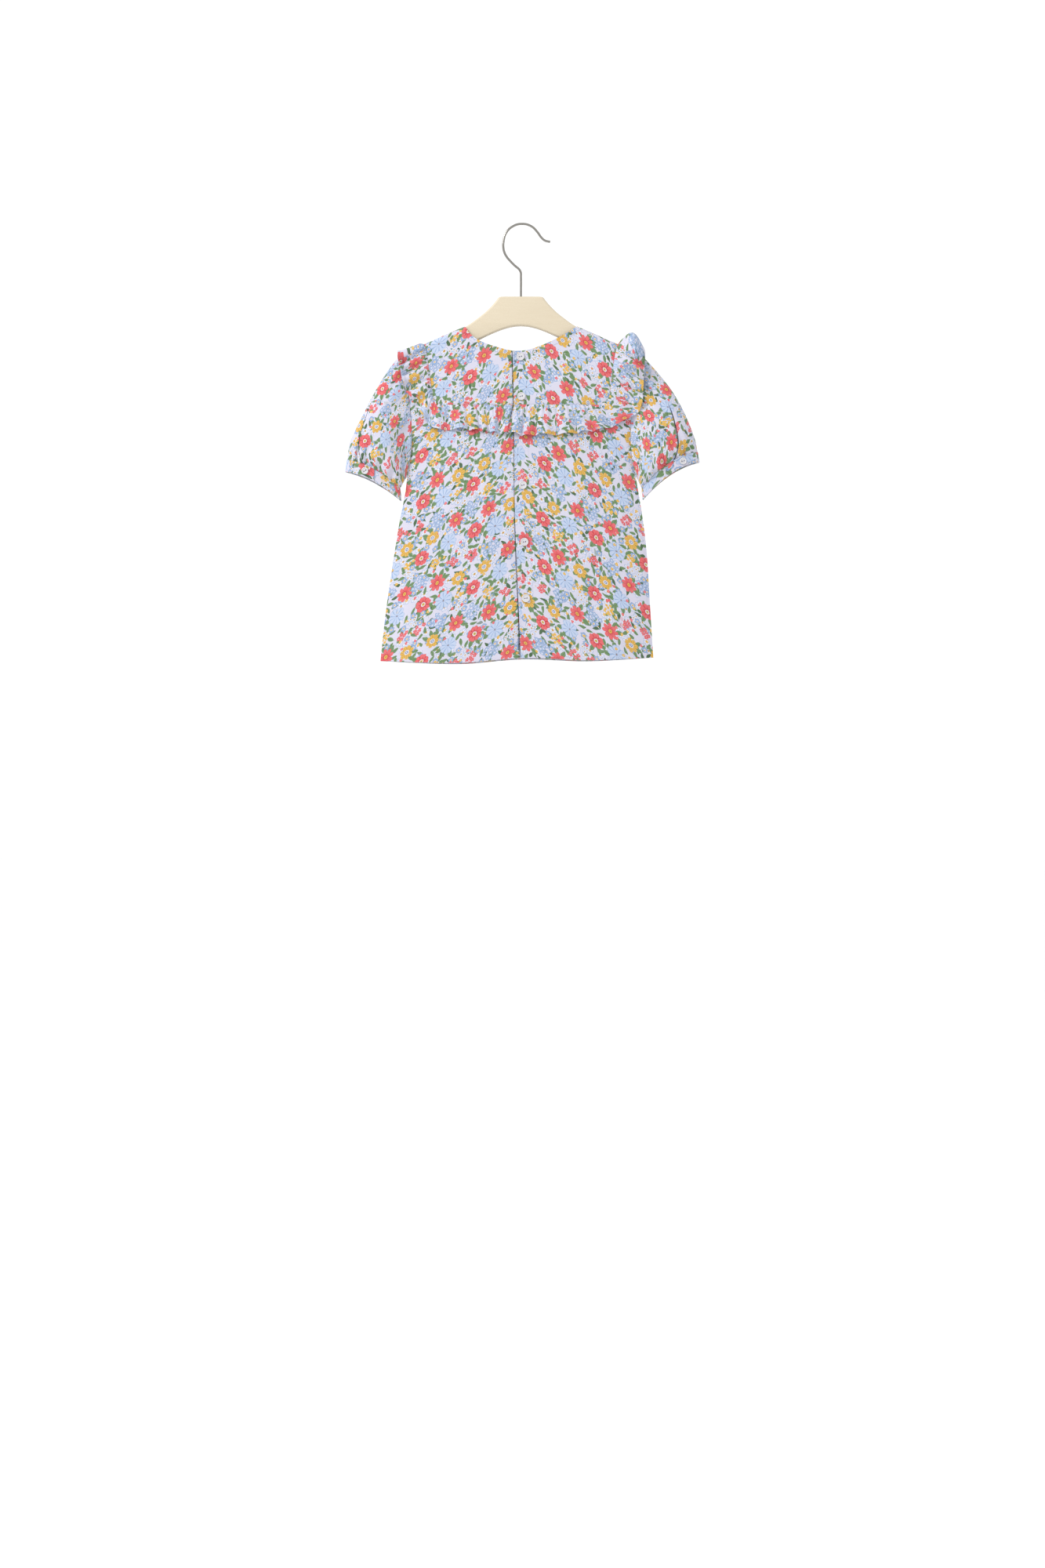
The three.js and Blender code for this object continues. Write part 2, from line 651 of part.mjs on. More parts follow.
// A button has a rim round a dished face, and two holes.
function buttonGeometry(radius) {
  const profile = [
    [0, 0],
    [radius - 0.8, 0],
    [radius, 0.7],
    [radius, buttonThickness - 0.6],
    [radius - 0.7, buttonThickness],
    [radius - 1.7, buttonThickness - 0.5],
    [0, buttonThickness - 0.7],
  ];
  const disc = new THREE.LatheGeometry(profile.map(([x, y]) => new THREE.Vector2(x, y)), 15);
  let solid = solidOf(disc);
  for (const side of [-1, 1]) {
    const hole = new THREE.CylinderGeometry(buttonHoleRadius, buttonHoleRadius, 8, 6);
    hole.translate((side * buttonHoleSpacing) / 2, 0, 0);
    solid = solid.subtract(solidOf(hole));
  }
  return geometryOf(solid);
}

// Seats a button on a cloth surface, given as a point for each step along it and up it.
function seatButton(geometry, pointAt, turn) {
  const reach = 4;
  const along = pointAt(reach, 0).sub(pointAt(-reach, 0));
  const up = pointAt(0, reach).sub(pointAt(0, -reach));
  const outward = along.cross(up).normalize();
  if (outward.y > 0) outward.negate();
  const faceUp = new THREE.Vector3(0, 1, 0);
  const spin = new THREE.Quaternion().setFromAxisAngle(faceUp, turn);
  geometry.applyQuaternion(new THREE.Quaternion().setFromUnitVectors(faceUp, outward).multiply(spin));
  const seat = pointAt(0, 0).addScaledVector(outward, halfCloth + seamGap * 0.9);
  return geometry.translate(seat.x, seat.y, seat.z);
}

for (const { name, x, z } of backButtons) {
  const pointAt = (dx, dz) => bodyPoint({ x: x + dx, down: downAt(x + dx, z + dz) }, -1);
  add(name, seatButton(buttonGeometry(buttonRadius), pointAt, 0.2), "pearl");
}
for (const wing of [-1, 1]) {
  const pointAt = (dx, dz) => {
    const point = cuffPoint(wing, cuffLaps[sideOf(wing)].button + dx / 260, 0.5 - dz / 30);
    point.y -= clothThickness + seamGap;
    return point;
  };
  const geometry = seatButton(buttonGeometry(cuffButtonRadius), pointAt, 0.4);
  add(`cuff_button_${sideOf(wing)}`, geometry, "pearl");
}

// The hanger is a flat plate with rounded edges, whose arms end under the shoulders.
function hangerSolid() {
  const drop = halfCloth + hangerClearance;
  const endZ = ridgeZ(hangerArmEndX) - drop;
  const armTop = [neckHalfWidth, hangerArmEndX - 8].map((x) => ({ x, z: ridgeZ(x) - drop }));
  const armEnd = [
    { x: hangerArmEndX - 2, z: endZ - 1.5 },
    { x: hangerArmEndX, z: endZ - 7 },
    { x: hangerArmEndX - 3, z: endZ - 13.5 },
    { x: hangerArmEndX - 9, z: endZ - 17 },
  ];
  const half = [...hangerTop, ...armTop, ...armEnd, ...hangerArch];
  const mirrored = half.slice(1, -1).reverse().map(({ x, z }) => ({ x: -x, z }));
  const outline = [...half, ...mirrored].map(({ x, z }) => new THREE.Vector2(x, z));
  const geometry = new THREE.ExtrudeGeometry(new THREE.Shape(outline), {
    depth: hangerThickness - 2 * hangerEdgeRound,
    bevelEnabled: true,
    bevelThickness: hangerEdgeRound,
    bevelSize: hangerEdgeRound,
    bevelOffset: -hangerEdgeRound,
    bevelSegments: 4,
  });
  geometry.rotateX(Math.PI / 2);
  geometry.translate(0, hangerThickness / 2 - hangerEdgeRound, 0);
  return solidOf(geometry);
}

const hangerTopZ = hangerTop[0].z;
const seatRadius = wireRadius + seamGap;
const seat = new THREE.CylinderGeometry(seatRadius, seatRadius, wireSeatDepth * 2, 12);
seat.rotateX(Math.PI / 2).translate(0, 0, hangerTopZ - seamGap);
add("hanger", geometryOf(hangerSolid().subtract(solidOf(seat))), "cream");

// The hook is round wire.
const stem = [{ x: 0, z: hangerTopZ - wireSeatDepth }, { x: 0, z: -84 }];
const hookPoints = [...stem, ...hookLine].map(({ x, z }) => new THREE.Vector3(x, 0, z));
const wireSection = new THREE.Shape(
  steps(8, (t) => {
    const angle = t * 2 * Math.PI;
    return new THREE.Vector2(Math.cos(angle), Math.sin(angle)).multiplyScalar(wireRadius);
  }).slice(0, -1),
);
const hookPath = new THREE.CatmullRomCurve3(hookPoints);
const hook = new THREE.ExtrudeGeometry(wireSection, { steps: 46, extrudePath: hookPath });
add("hook", geometryOf(solidOf(hook)), "chrome");

export default part;
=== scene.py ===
"""A child's printed blouse with a frilled yoke, on a cream hanger, seen from its buttoned back.

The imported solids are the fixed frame. Each cloth is remade here as a thin shell on its solid's form,
with the gathers, hems, seams and stitches of a sewn blouse. A material draws the floral print in the
cloth's own coordinates. Tables and construction are in millimetres, meshes are in metres, +Z is up and
the origin is the inside top of the hook. Left and right are the wearer's: wing is -1 on the left and 1
on the right, and face is -1 on the back and 1 on the front.
"""

import math

import bpy
from mathutils import Euler, Matrix, Vector, noise


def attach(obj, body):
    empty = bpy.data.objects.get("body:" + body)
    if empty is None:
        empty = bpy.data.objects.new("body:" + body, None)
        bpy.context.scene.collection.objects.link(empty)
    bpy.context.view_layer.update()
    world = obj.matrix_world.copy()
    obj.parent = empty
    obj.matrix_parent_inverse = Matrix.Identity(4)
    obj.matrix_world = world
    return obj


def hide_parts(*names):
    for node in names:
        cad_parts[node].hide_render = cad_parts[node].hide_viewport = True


bl_info = {
    "name": "Printed blouse on a hanger",
    "version": (1, 0, 0),
    "blender": (4, 5, 0),
    "location": "3D View > Sidebar > Blouse",
    "description": "Sews a child's short-sleeved blouse and hangs it on a hanger",
    "category": "Object",
}

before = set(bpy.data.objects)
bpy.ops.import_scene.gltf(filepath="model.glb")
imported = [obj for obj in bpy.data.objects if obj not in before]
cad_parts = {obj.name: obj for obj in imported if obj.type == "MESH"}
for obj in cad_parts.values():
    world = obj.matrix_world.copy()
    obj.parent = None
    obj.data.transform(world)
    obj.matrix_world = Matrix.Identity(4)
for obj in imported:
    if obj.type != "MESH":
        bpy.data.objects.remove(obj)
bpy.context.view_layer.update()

MM = 0.001

# Measurements that the cloth shares with its solids
fold_radius = 6.9  # of the cloth's middle where it lies over the hanger's arms
ridge_down = 0.15  # from the shoulder's top to the edge of each cloth that ends on it
neck_half_width = 72
neck_point_z = -130.5
shoulder_slope = 0.431
shoulder_point_x = 152
underarm_z = -322
front_neck_depth = 57
yoke_seam_z = -232
yoke_corner_radius = 18
yoke_side_x = 114
yoke_shoulder_x = 125
yoke_top_end_x = 97
underlap_width = 20
cuff_height = 15
lowest_z = -560
quarter_fold = fold_radius * math.pi / 2
seam_to_hem = 326  # down the middle of the body

# Half-width of the body down the armholes and then the side seams: height, left, right
body_sides = [
    (-110, 152, 152), (-165, 152, 152), (-190, 147.5, 147.5), (-230, 142, 142.5), (-270, 139.5, 140.5),
    (-300, 141.5, 142.5), (-322, 145.5, 147), (-345, 148.5, 151), (-383, 156, 157), (-423, 162.5, 161.5),
    (-480, 171, 165), (-520, 176, 167.5), (-575, 181.5, 171),
]
# How far the body stands off its middle plane: height, at its side edge, and how much more at its middle
body_depths = [
    (-110, 6.9, 0), (-165, 6.9, 1.5), (-200, 6.6, 4.5), (-250, 4, 9), (-322, 0.9, 13.5), (-400, 0.9, 15.5),
    (-480, 0.9, 16), (-575, 0.9, 16.5),
]
crown_power = 2.4
side_seam_depth = 0.3
# Soft folds that hang to the hem: x, width, height where they start, and how far they stand out at the hem
body_folds = [(-128, 34, -380, 2.2), (-66, 40, -330, 1.8), (58, 42, -350, 2), (122, 34, -370, 2.4)]
# Small creases in the hung cloth: face, start x and z, end x and z, half-width, height
creases = [
    (-1, -134, -338, -104, -420, 9, 0.9), (-1, -118, -300, -84, -350, 7, -0.6),
    (-1, -96, -290, -92, -392, 8, 0.7), (-1, -62, -284, -58, -372, 6, -0.6),
    (-1, -40, -290, -46, -470, 10, 0.8), (-1, -78, -430, -88, -548, 9, -0.8),
    (-1, -140, -440, -150, -550, 8, 0.8), (-1, 12, -338, 60, -352, 5, 0.5),
    (-1, 14, -410, 52, -418, 5, -0.5), (-1, 15, -483, 58, -498, 6, 0.5), (-1, 36, -290, 40, -400, 8, -0.7),
    (-1, 74, -292, 70, -388, 7, 0.7), (-1, 96, -296, 104, -384, 7, -0.6),
    (-1, 138, -340, 112, -424, 9, 0.9), (-1, 92, -440, 98, -550, 10, -0.9),
    (-1, 30, -470, 26, -550, 8, 0.7), (-1, 148, -450, 152, -546, 7, 0.7),
    (-1, -84, -160, -52, -214, 10, 0.6), (-1, 80, -158, 46, -210, 10, 0.6),
    (-1, -30, -178, -40, -226, 7, -0.4), (1, -134, -338, -100, -424, 9, 0.9),
    (1, -84, -292, -76, -410, 9, 0.8), (1, -30, -290, -26, -440, 10, -0.8), (1, 18, -300, 28, -470, 9, 0.7),
    (1, 66, -292, 60, -380, 8, -0.6), (1, 136, -340, 108, -430, 9, 0.9),
    (1, -110, -440, -122, -550, 9, -0.8), (1, -12, -460, -8, -552, 9, 0.8),
    (1, 88, -440, 96, -550, 10, 0.8), (1, -84, -160, -56, -212, 10, 0.6), (1, 82, -158, 52, -214, 10, 0.6),
]
# The back neckline, the free edge of the overlap and the hem
back_neck = [
    (-72, -130.5), (-64, -141.5), (-51, -150.5), (-31.5, -157.3), (-10, -162.5), (8, -161.5), (29, -154.5),
    (47, -146), (64, -136.5), (72, -130.5),
]
overlap_edge = [(-575, 0.5), (-523, -1.5), (-375, -7.5), (-235, -9), (-150, -11)]
hem_line = [(-182, -559), (-80, -562), (-10, -556.5), (20, -556), (85, -558.5), (172, -554.5)]
# Outer fold of each sleeve: share of the way to the cuff, left x and z, right x and z, depth
sleeve_folds = [
    (0, 152.3, -165, 152.3, -165, 7), (0.17, 170, -184, 170.5, -183, 11),
    (0.37, 188, -215, 190.5, -208.5, 16), (0.57, 203.5, -246, 208, -238.5, 18),
    (0.78, 218, -277, 221.5, -271, 17), (1, 222.5, -301.5, 226.3, -291.5, 10),
]
sleeve_inner_x = 155
sleeve_inner_z = -337.5
sleeve_gathers = 16
# Lower edge of each cuff, its bow, and how far round the arm its band starts, is buttoned and ends
cuffs = {
    -1: {"outer": (225, -316.5), "inner": (153.5, -354), "bow": 6, "lap": (0.185, 0.208, 0.2565)},
    1: {"outer": (228.5, -304.5), "inner": (156.5, -352.5), "bow": 9, "lap": (0.163, 0.1865, 0.234)},
}
# The ruffle's free edge: share of the way to the shoulder, then x and z on the left, right and front
ruffle_edges = [
    (0, 14, -268, -16.5, -268, 0, -268), (0.1, 30, -268, 7, -272, 22, -268),
    (0.25, 52, -266, 45, -270, 54, -268), (0.4, 82, -263, 82, -267, 86, -266),
    (0.52, 108, -263, 114, -260, 116, -259), (0.6, 125, -247, 137, -250, 136, -246),
    (0.68, 140, -224, 153, -236, 148, -228), (0.78, 150, -205, 156, -212, 154, -207),
    (0.88, 154, -186, 157, -190, 156.5, -188), (1, 158.5, -167.5, 158.5, -167.5, 158.5, -167.5),
]
ruffle_columns_of = {"left": (1, 2), "right": (3, 4), "front": (5, 6)}
ruffle_waves = 11
back_buttons = {
    "button_1": (-0.7, -170.5), "button_2": (0.5, -221.8), "button_3": (2.5, -335.5),
    "button_4": (4.4, -408), "button_5": (6.3, -480),
}
hanger_top = [
    (0, -92), (24, -92), (28.5, -93.2), (31.5, -97), (36, -102.5), (46, -112.5), (54, -118.8), (63, -125.6),
]
hanger_arch = [
    (118, -174), (96, -165.5), (74, -156.5), (56, -148.5), (44, -142.5), (32, -137.2), (20, -132.8),
    (9, -130.3), (0, -129.6),
]
hanger_arm_end_x = 138
hanger_thickness = 8.4
hook_line = [
    (0, -104), (0, -84), (0, -66), (-0.3, -60.5), (-2.5, -56.6), (-7.4, -52.5), (-13.4, -46.5),
    (-18.4, -40.5), (-21.4, -34.5), (-22.6, -28.5), (-22.5, -22.5), (-19.3, -10.5), (-10.5, -1.7),
    (1.5, 1.5), (13.5, -1.7), (21.5, -9.5), (26, -15.8), (31, -20), (37.5, -21.5),
]
wire_radius = 1.5

# Where each piece was cut from the printed length: across, along, and turned, in degrees
cut_from = {
    "back_yoke_left": (11, 23, 0), "back_yoke_right": (37, 61, 0), "back_panel_left": (5, 90, 0),
    "back_panel_right": (48, 17, 0), "front_yoke": (20, 44, 0), "front_panel": (31, 8, 0),
    "sleeve_left": (9, 71, -14), "sleeve_right": (52, 33, 14), "cuff_left": (3, 12, 0),
    "cuff_right": (40, 77, 0), "ruffle_back_left": (14, 52, 0), "ruffle_back_right": (60, 5, 0),
    "ruffle_front": (25, 96, 0),
}

# Turned edges: how thick the cloth is there, as a share, and where the rows of stitches run
neck_turn = 1.8
hem_turn = 1.9
overlap_turn = 1.6
cuff_turn = 2.4
neck_rows = 5
overlap_columns = 8
stitch_lift = 0.9  # above the cloth's middle, as a share of its thickness
plain_lift = 0.6  # of that, where the edge isn't thickened

# Flat size of each kind of cloth, across and along, and how it is held
flat_sizes = {
    "back_yoke": (150, 112, "hung"), "front_yoke": (260, 112, "hung"),
    "back_panel": (205, 432, "hung"), "front_panel": (356, 432, "hung"),
    "sleeve": (320, 176, "gathered"), "cuff": (184, 17, "gathered"),
    "ruffle_back": (300, 40, "gathered"), "ruffle_front": (580, 40, "gathered"),
}


# Sizes and colours that a user would change


def length_property(name, description, metres):
    return bpy.props.FloatProperty(name=name, description=description, default=metres, unit="LENGTH")


class BlouseSizes(bpy.types.PropertyGroup):
    cloth: length_property("Cloth", "Thickness of the cotton", 0.0005)
    hem: length_property("Hem", "Depth of the turned hem", 0.013)
    stitch: length_property("Stitch", "Length of one stitch", 0.0022)
    thread: length_property("Thread", "Thickness of the sewing thread", 0.00024)
    button: length_property("Button", "Width of a back button", 0.0102)
    cuff_button: length_property("Cuff button", "Width of a cuff button", 0.0088)
    relief: bpy.props.FloatProperty(
        name="Creases", description="How strongly the cloth is creased", default=1.0, min=0, max=2
    )


def colour_property(name, description, red, green, blue):
    """A colour given as the eye sees it, from 0 to 255."""
    shown = tuple(linear(v) for v in (red, green, blue))
    return bpy.props.FloatVectorProperty(
        name=name, description=description, default=shown, subtype="COLOR", min=0, max=1
    )


def linear(value):
    """A display value from 0 to 255 as the light that it stands for."""
    share = value / 255
    return share / 12.92 if share <= 0.04045 else ((share + 0.055) / 1.055) ** 2.4


class BlouseColours(bpy.types.PropertyGroup):
    ground: colour_property("Ground", "Ground of the print", 227, 225, 243)
    coral: colour_property("Coral", "Coral petals", 242, 106, 110)
    crimson: colour_property("Crimson", "Heart of the coral flowers", 204, 56, 66)
    gold: colour_property("Gold", "Yellow petals", 240, 190, 80)
    sky: colour_property("Sky", "Pale blue petals", 204, 219, 246)
    blue: colour_property("Blue", "Blue petals", 152, 181, 222)
    leaf: colour_property("Leaf", "Leaves", 116, 150, 98)
    stem: colour_property("Stem", "Stems and leaf veins", 72, 106, 66)
    paint: colour_property("Paint", "Paint of the hanger", 238, 224, 197)
    thread: colour_property("Thread", "Sewing thread", 214, 213, 232)


# How bright white looks on the stage. Albedos are divided by it, so that colours look as chosen.
stage_light = 1.5


def lit(colour):
    return tuple(v / stage_light for v in colour)


# Small helpers


def mix(a, b, t):
    return a + (b - a) * t


def clamp01(t):
    return min(1.0, max(0.0, t))


def ease(start, end, value):
    t = clamp01((value - start) / (end - start))
    return t * t * (3 - 2 * t)


def steps(count):
    return [i / count for i in range(count + 1)]


def curve(rows, key, wanted):
    """A smooth reading of a table: the column wanted where the column key has a given value."""
    rows = sorted(rows, key=lambda row: row[key])
    xs = [row[key] for row in rows]
    ys = [row[wanted] for row in rows]
    last = len(rows) - 1
    slopes = []
    for i in range(len(rows)):
        before, after = max(0, i - 1), min(last, i + 1)
        slopes.append((ys[after] - ys[before]) / (xs[after] - xs[before]))

    def at(value):
        i = 0
        while i < last - 1 and value > xs[i + 1]:
            i += 1
        span = xs[i + 1] - xs[i]
        t = clamp01((value - xs[i]) / span)
        rest = 1 - t
        ends = ys[i] * rest * rest * (1 + 2 * t) + ys[i + 1] * t * t * (3 - 2 * t)
        return ends + span * (slopes[i] * t * rest * rest - slopes[i + 1] * t * t * rest)

    return at


side_readings = {-1: curve(body_sides, 0, 1), 1: curve(body_sides, 0, 2)}
edge_depth = curve(body_depths, 0, 1)
crown_depth = curve(body_depths, 0, 2)
back_neck_z = curve(back_neck, 0, 1)
overlap_x = curve(overlap_edge, 0, 1)
hem_z = curve(hem_line, 0, 1)
fold_readings = {
    -1: [curve(sleeve_folds, 0, column) for column in (1, 2, 5)],
    1: [curve(sleeve_folds, 0, column) for column in (3, 4, 5)],
}


def ripple(x, z, size, seed):
    """Smooth uneven values about 0 over a surface, the same on each run."""
    return noise.noise(Vector((x / size, z / size, seed)))


# The body's surface. A place on it has an x, and down: the length of cloth below the shoulder's top.


def ridge_z(x):
    return neck_point_z - shoulder_slope * (abs(x) - neck_half_width)


def side_x(z, wing):
    return side_readings[-1 if wing < 0 else 1](z)


def down_at(x, z):
    drop = max(0.0, ridge_z(x) - z)
    if drop < fold_radius:
        return fold_radius * math.acos(1 - drop / fold_radius)
    return quarter_fold + drop - fold_radius


def z_at(place):
    x, down = place
    if down < quarter_fold:
        return ridge_z(x) - fold_radius * (1 - math.cos(down / fold_radius))
    return ridge_z(x) - fold_radius - (down - quarter_fold)


crease_overrun = 0.15  # past each end, as a share of the crease's length
crease_reach = 2.5  # to each side, in half-widths


def crease_height(x, z, face):
    """How far the creases lift the cloth at a place."""
    height = 0.0
    for side, x1, z1, x2, z2, width, rise in creases:
        if side != face:
            continue
        along_x, along_z = x2 - x1, z2 - z1
        length2 = along_x * along_x + along_z * along_z
        t = ((x - x1) * along_x + (z - z1) * along_z) / length2
        if not -crease_overrun < t < 1 + crease_overrun:
            continue
        aside = ((x - x1) * along_z - (z - z1) * along_x) / math.sqrt(length2) / width
        if abs(aside) < crease_reach:
            lift = rise * math.exp(-aside * aside) * ease(-crease_overrun, 0.3, t)
            height += lift * ease(1 + crease_overrun, 0.6, t)
    return height


def body_depth(x, z, face):
    """How far the cloth stands off the body's middle plane, with its folds, creases and waves."""
    share = min(1.0, abs(x) / side_x(z, x))
    depth = edge_depth(z) + crown_depth(z) * (1 - share**crown_power)
    loose = 1 - share**8
    for fold_x, width, top, height in body_folds:
        aside = (x - fold_x) / width
        depth += height * ease(top, lowest_z, z) * loose * math.exp(-aside * aside)
    uneven = 0.9 * ripple(x, z, 46, face * 3.7) + 0.3 * ripple(x, z, 15, face * 8.1)
    near_hem = ease(-500, lowest_z, z)
    uneven += near_hem * (1.2 * ripple(x, 0, 22, face * 5.3) + 0.25 * ripple(x, z, 4.5, face * 2.9))
    relief = bpy.context.scene.blouse_sizes.relief
    depth += relief * loose * (crease_height(x, z, face) + uneven)
    side_seam = ease(0.97, 1, share) * ease(-316, -334, z)
    return mix(depth, side_seam_depth, side_seam)


def body_point(place, face, out=0.0):
    """The point of the body's middle surface at a place, moved outward by out."""
    x, down = place
    if down < quarter_fold:
        turn = down / fold_radius
        radius = fold_radius + out
        return Vector((x, face * radius * math.sin(turn), ridge_z(x) - fold_radius + radius * math.cos(turn)))
    z = z_at(place)
    settle = ease(0, fold_radius * 3, down - quarter_fold)
    return Vector((x, face * (mix(fold_radius, body_depth(x, z, face), settle) + out), z))


def between(a, b, t):
    x = mix(a[0], b[0], t)
    if min(a[1], b[1]) < quarter_fold:
        return (x, mix(a[1], b[1], t))
    return (x, down_at(x, mix(z_at(a), z_at(b), t)))


# Cloth: sheets of points that become thin closed shells


class Sheet:
    """The middle of a cloth: rows of points, with the place of each on the printed cloth."""

    def __init__(self, columns, rows, point_at, around=False):
        self.columns = columns
        self.rows = rows
        self.around = around
        self.width = columns if around else columns + 1
        self.points = []
        self.prints = []
        for row in range(rows + 1):
            for column in range(self.width):
                point, place = point_at(column, row)
                self.points.append(point)
                self.prints.append(place)
        self.quads = []
        for row in range(rows):
            for column in range(columns):
                corners = ((column, row), (column + 1, row), (column + 1, row + 1), (column, row + 1))
                self.quads.append([self.at(*corner) for corner in corners])

    def at(self, column, row):
        return column % self.width + row * self.width

    def normals(self):
        found = [Vector() for _ in self.points]
        for quad in self.quads:
            a, b, c, d = (self.points[i] for i in quad)
            normal = (c - a).cross(d - b)
            for i in quad:
                found[i] += normal
        outward = sum(normal.y * point.y for normal, point in zip(found, self.points))
        return [normal.normalized() * (1 if outward > 0 else -1) for normal in found]

    def line(self, lift, row=None, column=None):
        """Points and normals along a row or a column, lifted off the cloth's middle."""
        if row is not None:
            picked = [self.at(i, row) for i in range(self.columns + 1)]
        else:
            picked = [self.at(column, i) for i in range(self.rows + 1)]
        normals = self.normals()
        return [(self.points[i] + normals[i] * lift, normals[i]) for i in picked]


def welded(first, second):
    """One sheet out of two that share an edge, the second a mirrored grid."""
    places = {tuple(round(v, 3) for v in point): i for i, point in enumerate(first.points)}
    whole = Sheet.__new__(Sheet)
    whole.points = list(first.points)
    whole.prints = list(first.prints)
    moved = []
    for point, place in zip(second.points, second.prints):
        shared = places.get(tuple(round(v, 3) for v in point))
        if shared is None:
            shared = len(whole.points)
            whole.points.append(point)
            whole.prints.append(place)
        moved.append(shared)
    whole.quads = first.quads + [[moved[i] for i in reversed(quad)] for quad in second.quads]
    return whole


def cloth_thickness():
    """The cotton's thickness in millimetres."""
    return bpy.context.scene.blouse_sizes.cloth / MM


def cloth_shell(name, sheet, thick):
    """A closed shell about a sheet. thick gives the share of the cloth's thickness at each point."""
    half = cloth_thickness() / 2
    normals = sheet.normals()
    count = len(sheet.points)
    outer = [p + n * half * thick(i) for i, (p, n) in enumerate(zip(sheet.points, normals))]
    inner = [p - n * half * thick(i) for i, (p, n) in enumerate(zip(sheet.points, normals))]
    a, b, c, d = (sheet.points[i] for i in sheet.quads[0])
    upright = (c - a).cross(d - b).dot(normals[sheet.quads[0][0]]) > 0
    edges = {}
    faces = []
    sides = []
    for quad in sheet.quads:
        quad = quad if upright else quad[::-1]
        faces.append(quad)
        sides.append(0)
        faces.append([i + count for i in reversed(quad)])
        sides.append(1)
        for start, end in zip(quad, quad[1:] + quad[:1]):
            if (end, start) in edges:
                del edges[(end, start)]
            else:
                edges[(start, end)] = True
    for start, end in edges:
        faces.append([end, start, start + count, end + count])
        sides.append(0)
    mesh = bpy.data.meshes.new(name)
    mesh.from_pydata([p * MM for p in outer + inner], [], faces)
    layer = mesh.uv_layers.new(name="print")
    across, along, turned = cut_from[name]
    turn = Matrix.Rotation(math.radians(turned), 2)
    places = [(turn @ Vector(place) + Vector((across, along))) * MM for place in sheet.prints]
    for loop in mesh.loops:
        layer.data[loop.index].uv = places[loop.vertex_index % count]
    mesh.polygons.foreach_set("material_index", sides)
    mesh.polygons.foreach_set("use_smooth", [True] * len(faces))
    mesh.materials.append(bpy.data.materials["printed_cotton"])
    mesh.materials.append(bpy.data.materials["wrong_side"])
    mesh.update()
    piece = new_object(name + "_cloth", mesh)
    show_smooth(piece, 50)
    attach(piece, "root")
    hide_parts(name)
    return piece


def new_object(name, data):
    made = bpy.data.objects.new(name, data)
    bpy.context.scene.collection.objects.link(made)
    return made


def pick(piece):
    """Selects the piece alone and makes it active."""
    bpy.ops.object.select_all(action="DESELECT")
    piece.select_set(True)
    bpy.context.view_layer.objects.active = piece


def show_smooth(piece, angle):
    """Smooth shading that keeps edges sharper than the angle, in degrees."""
    pick(piece)
    bpy.ops.object.shade_smooth_by_angle(angle=math.radians(angle))


def enter_mode(mode):
    """Turns edit mode on or off for the active piece."""
    bpy.ops.object.mode_set(mode=mode)


def turn_outward():
    """Turns the faces of the piece in edit mode to point outward."""
    bpy.ops.mesh.select_all(action="SELECT")
    bpy.ops.mesh.normals_make_consistent(inside=False)


def recalculate_outside(piece):
    pick(piece)
    enter_mode("EDIT")
    turn_outward()
    enter_mode("OBJECT")


# Stitches

stitch_pitch = 1.3  # from one stitch to the next, as a share of a stitch
thread_sides = 5
# Rings of one stitch: share of its half length, share of the thread's radius, how far it sinks in
stitch_rings = [(-1, 0.35, -0.8), (-0.6, 1, 0), (0.6, 1, 0), (1, 0.35, -0.8)]


def spaced(line, gap):
    """Points, normals and directions at even steps along a line of points and normals."""
    found = []
    left = gap / 2
    for (a, normal), (b, _) in zip(line, line[1:]):
        length = (b - a).length
        while left < length:
            found.append((a.lerp(b, left / length), normal, (b - a).normalized()))
            left += gap
        left -= length
    return found


def sew(name, lines):
    """Rows of stitches: small rounded lengths of thread that lie on the cloth."""
    sizes = bpy.context.scene.blouse_sizes
    half = sizes.stitch / MM / 2
    radius = sizes.thread / MM / 2
    sides = thread_sides
    rings = stitch_rings
    vertices = []
    faces = []
    for line in lines:
        for point, normal, along in spaced(line, half * 2 * stitch_pitch):
            across = along.cross(normal).normalized()
            base = len(vertices)
            for share, size, sink in rings:
                for k in range(sides):
                    angle = 2 * math.pi * k / sides
                    offset = across * math.cos(angle) + normal * math.sin(angle) * 0.8
                    middle = point + along * half * share + normal * radius * sink
                    vertices.append((middle + offset * radius * size) * MM)
            for ring in range(len(rings) - 1):
                for k in range(sides):
                    low = base + ring * sides
                    following = (k + 1) % sides
                    faces.append([low + k, low + following, low + sides + following, low + sides + k])
            faces.append([base + k for k in reversed(range(sides))])
            faces.append([base + (len(rings) - 1) * sides + k for k in range(sides)])
    mesh = bpy.data.meshes.new(name)
    mesh.from_pydata(vertices, [], faces)
    mesh.polygons.foreach_set("use_smooth", [True] * len(faces))
    mesh.materials.append(bpy.data.materials["sewing_thread"])
    piece = new_object(name, mesh)
    recalculate_outside(piece)
    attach(piece, "root")
    return piece


def in_pairs(kind, sheets):
    """Each of two sheets with its name, left and then right."""
    return [(f"{kind}_{side}", side, sheet) for side, sheet in zip(("left", "right"), sheets)]


def make_cloth(name, sheet, thick, lines, kind):
    """Makes a cloth with its rows of stitches. It also works out the cloth's area, held to its flat size, but
    nothing uses them.
    """
    piece = cloth_shell(name, sheet, thick)
    stitches = [sew(name + "_stitches", lines)] if lines else []
    width, length, held = flat_sizes[kind]
    area = sum(p.area for p in piece.data.polygons if p.material_index == 1)
    area = min(area, width * length * MM * MM)


# Yokes and panels

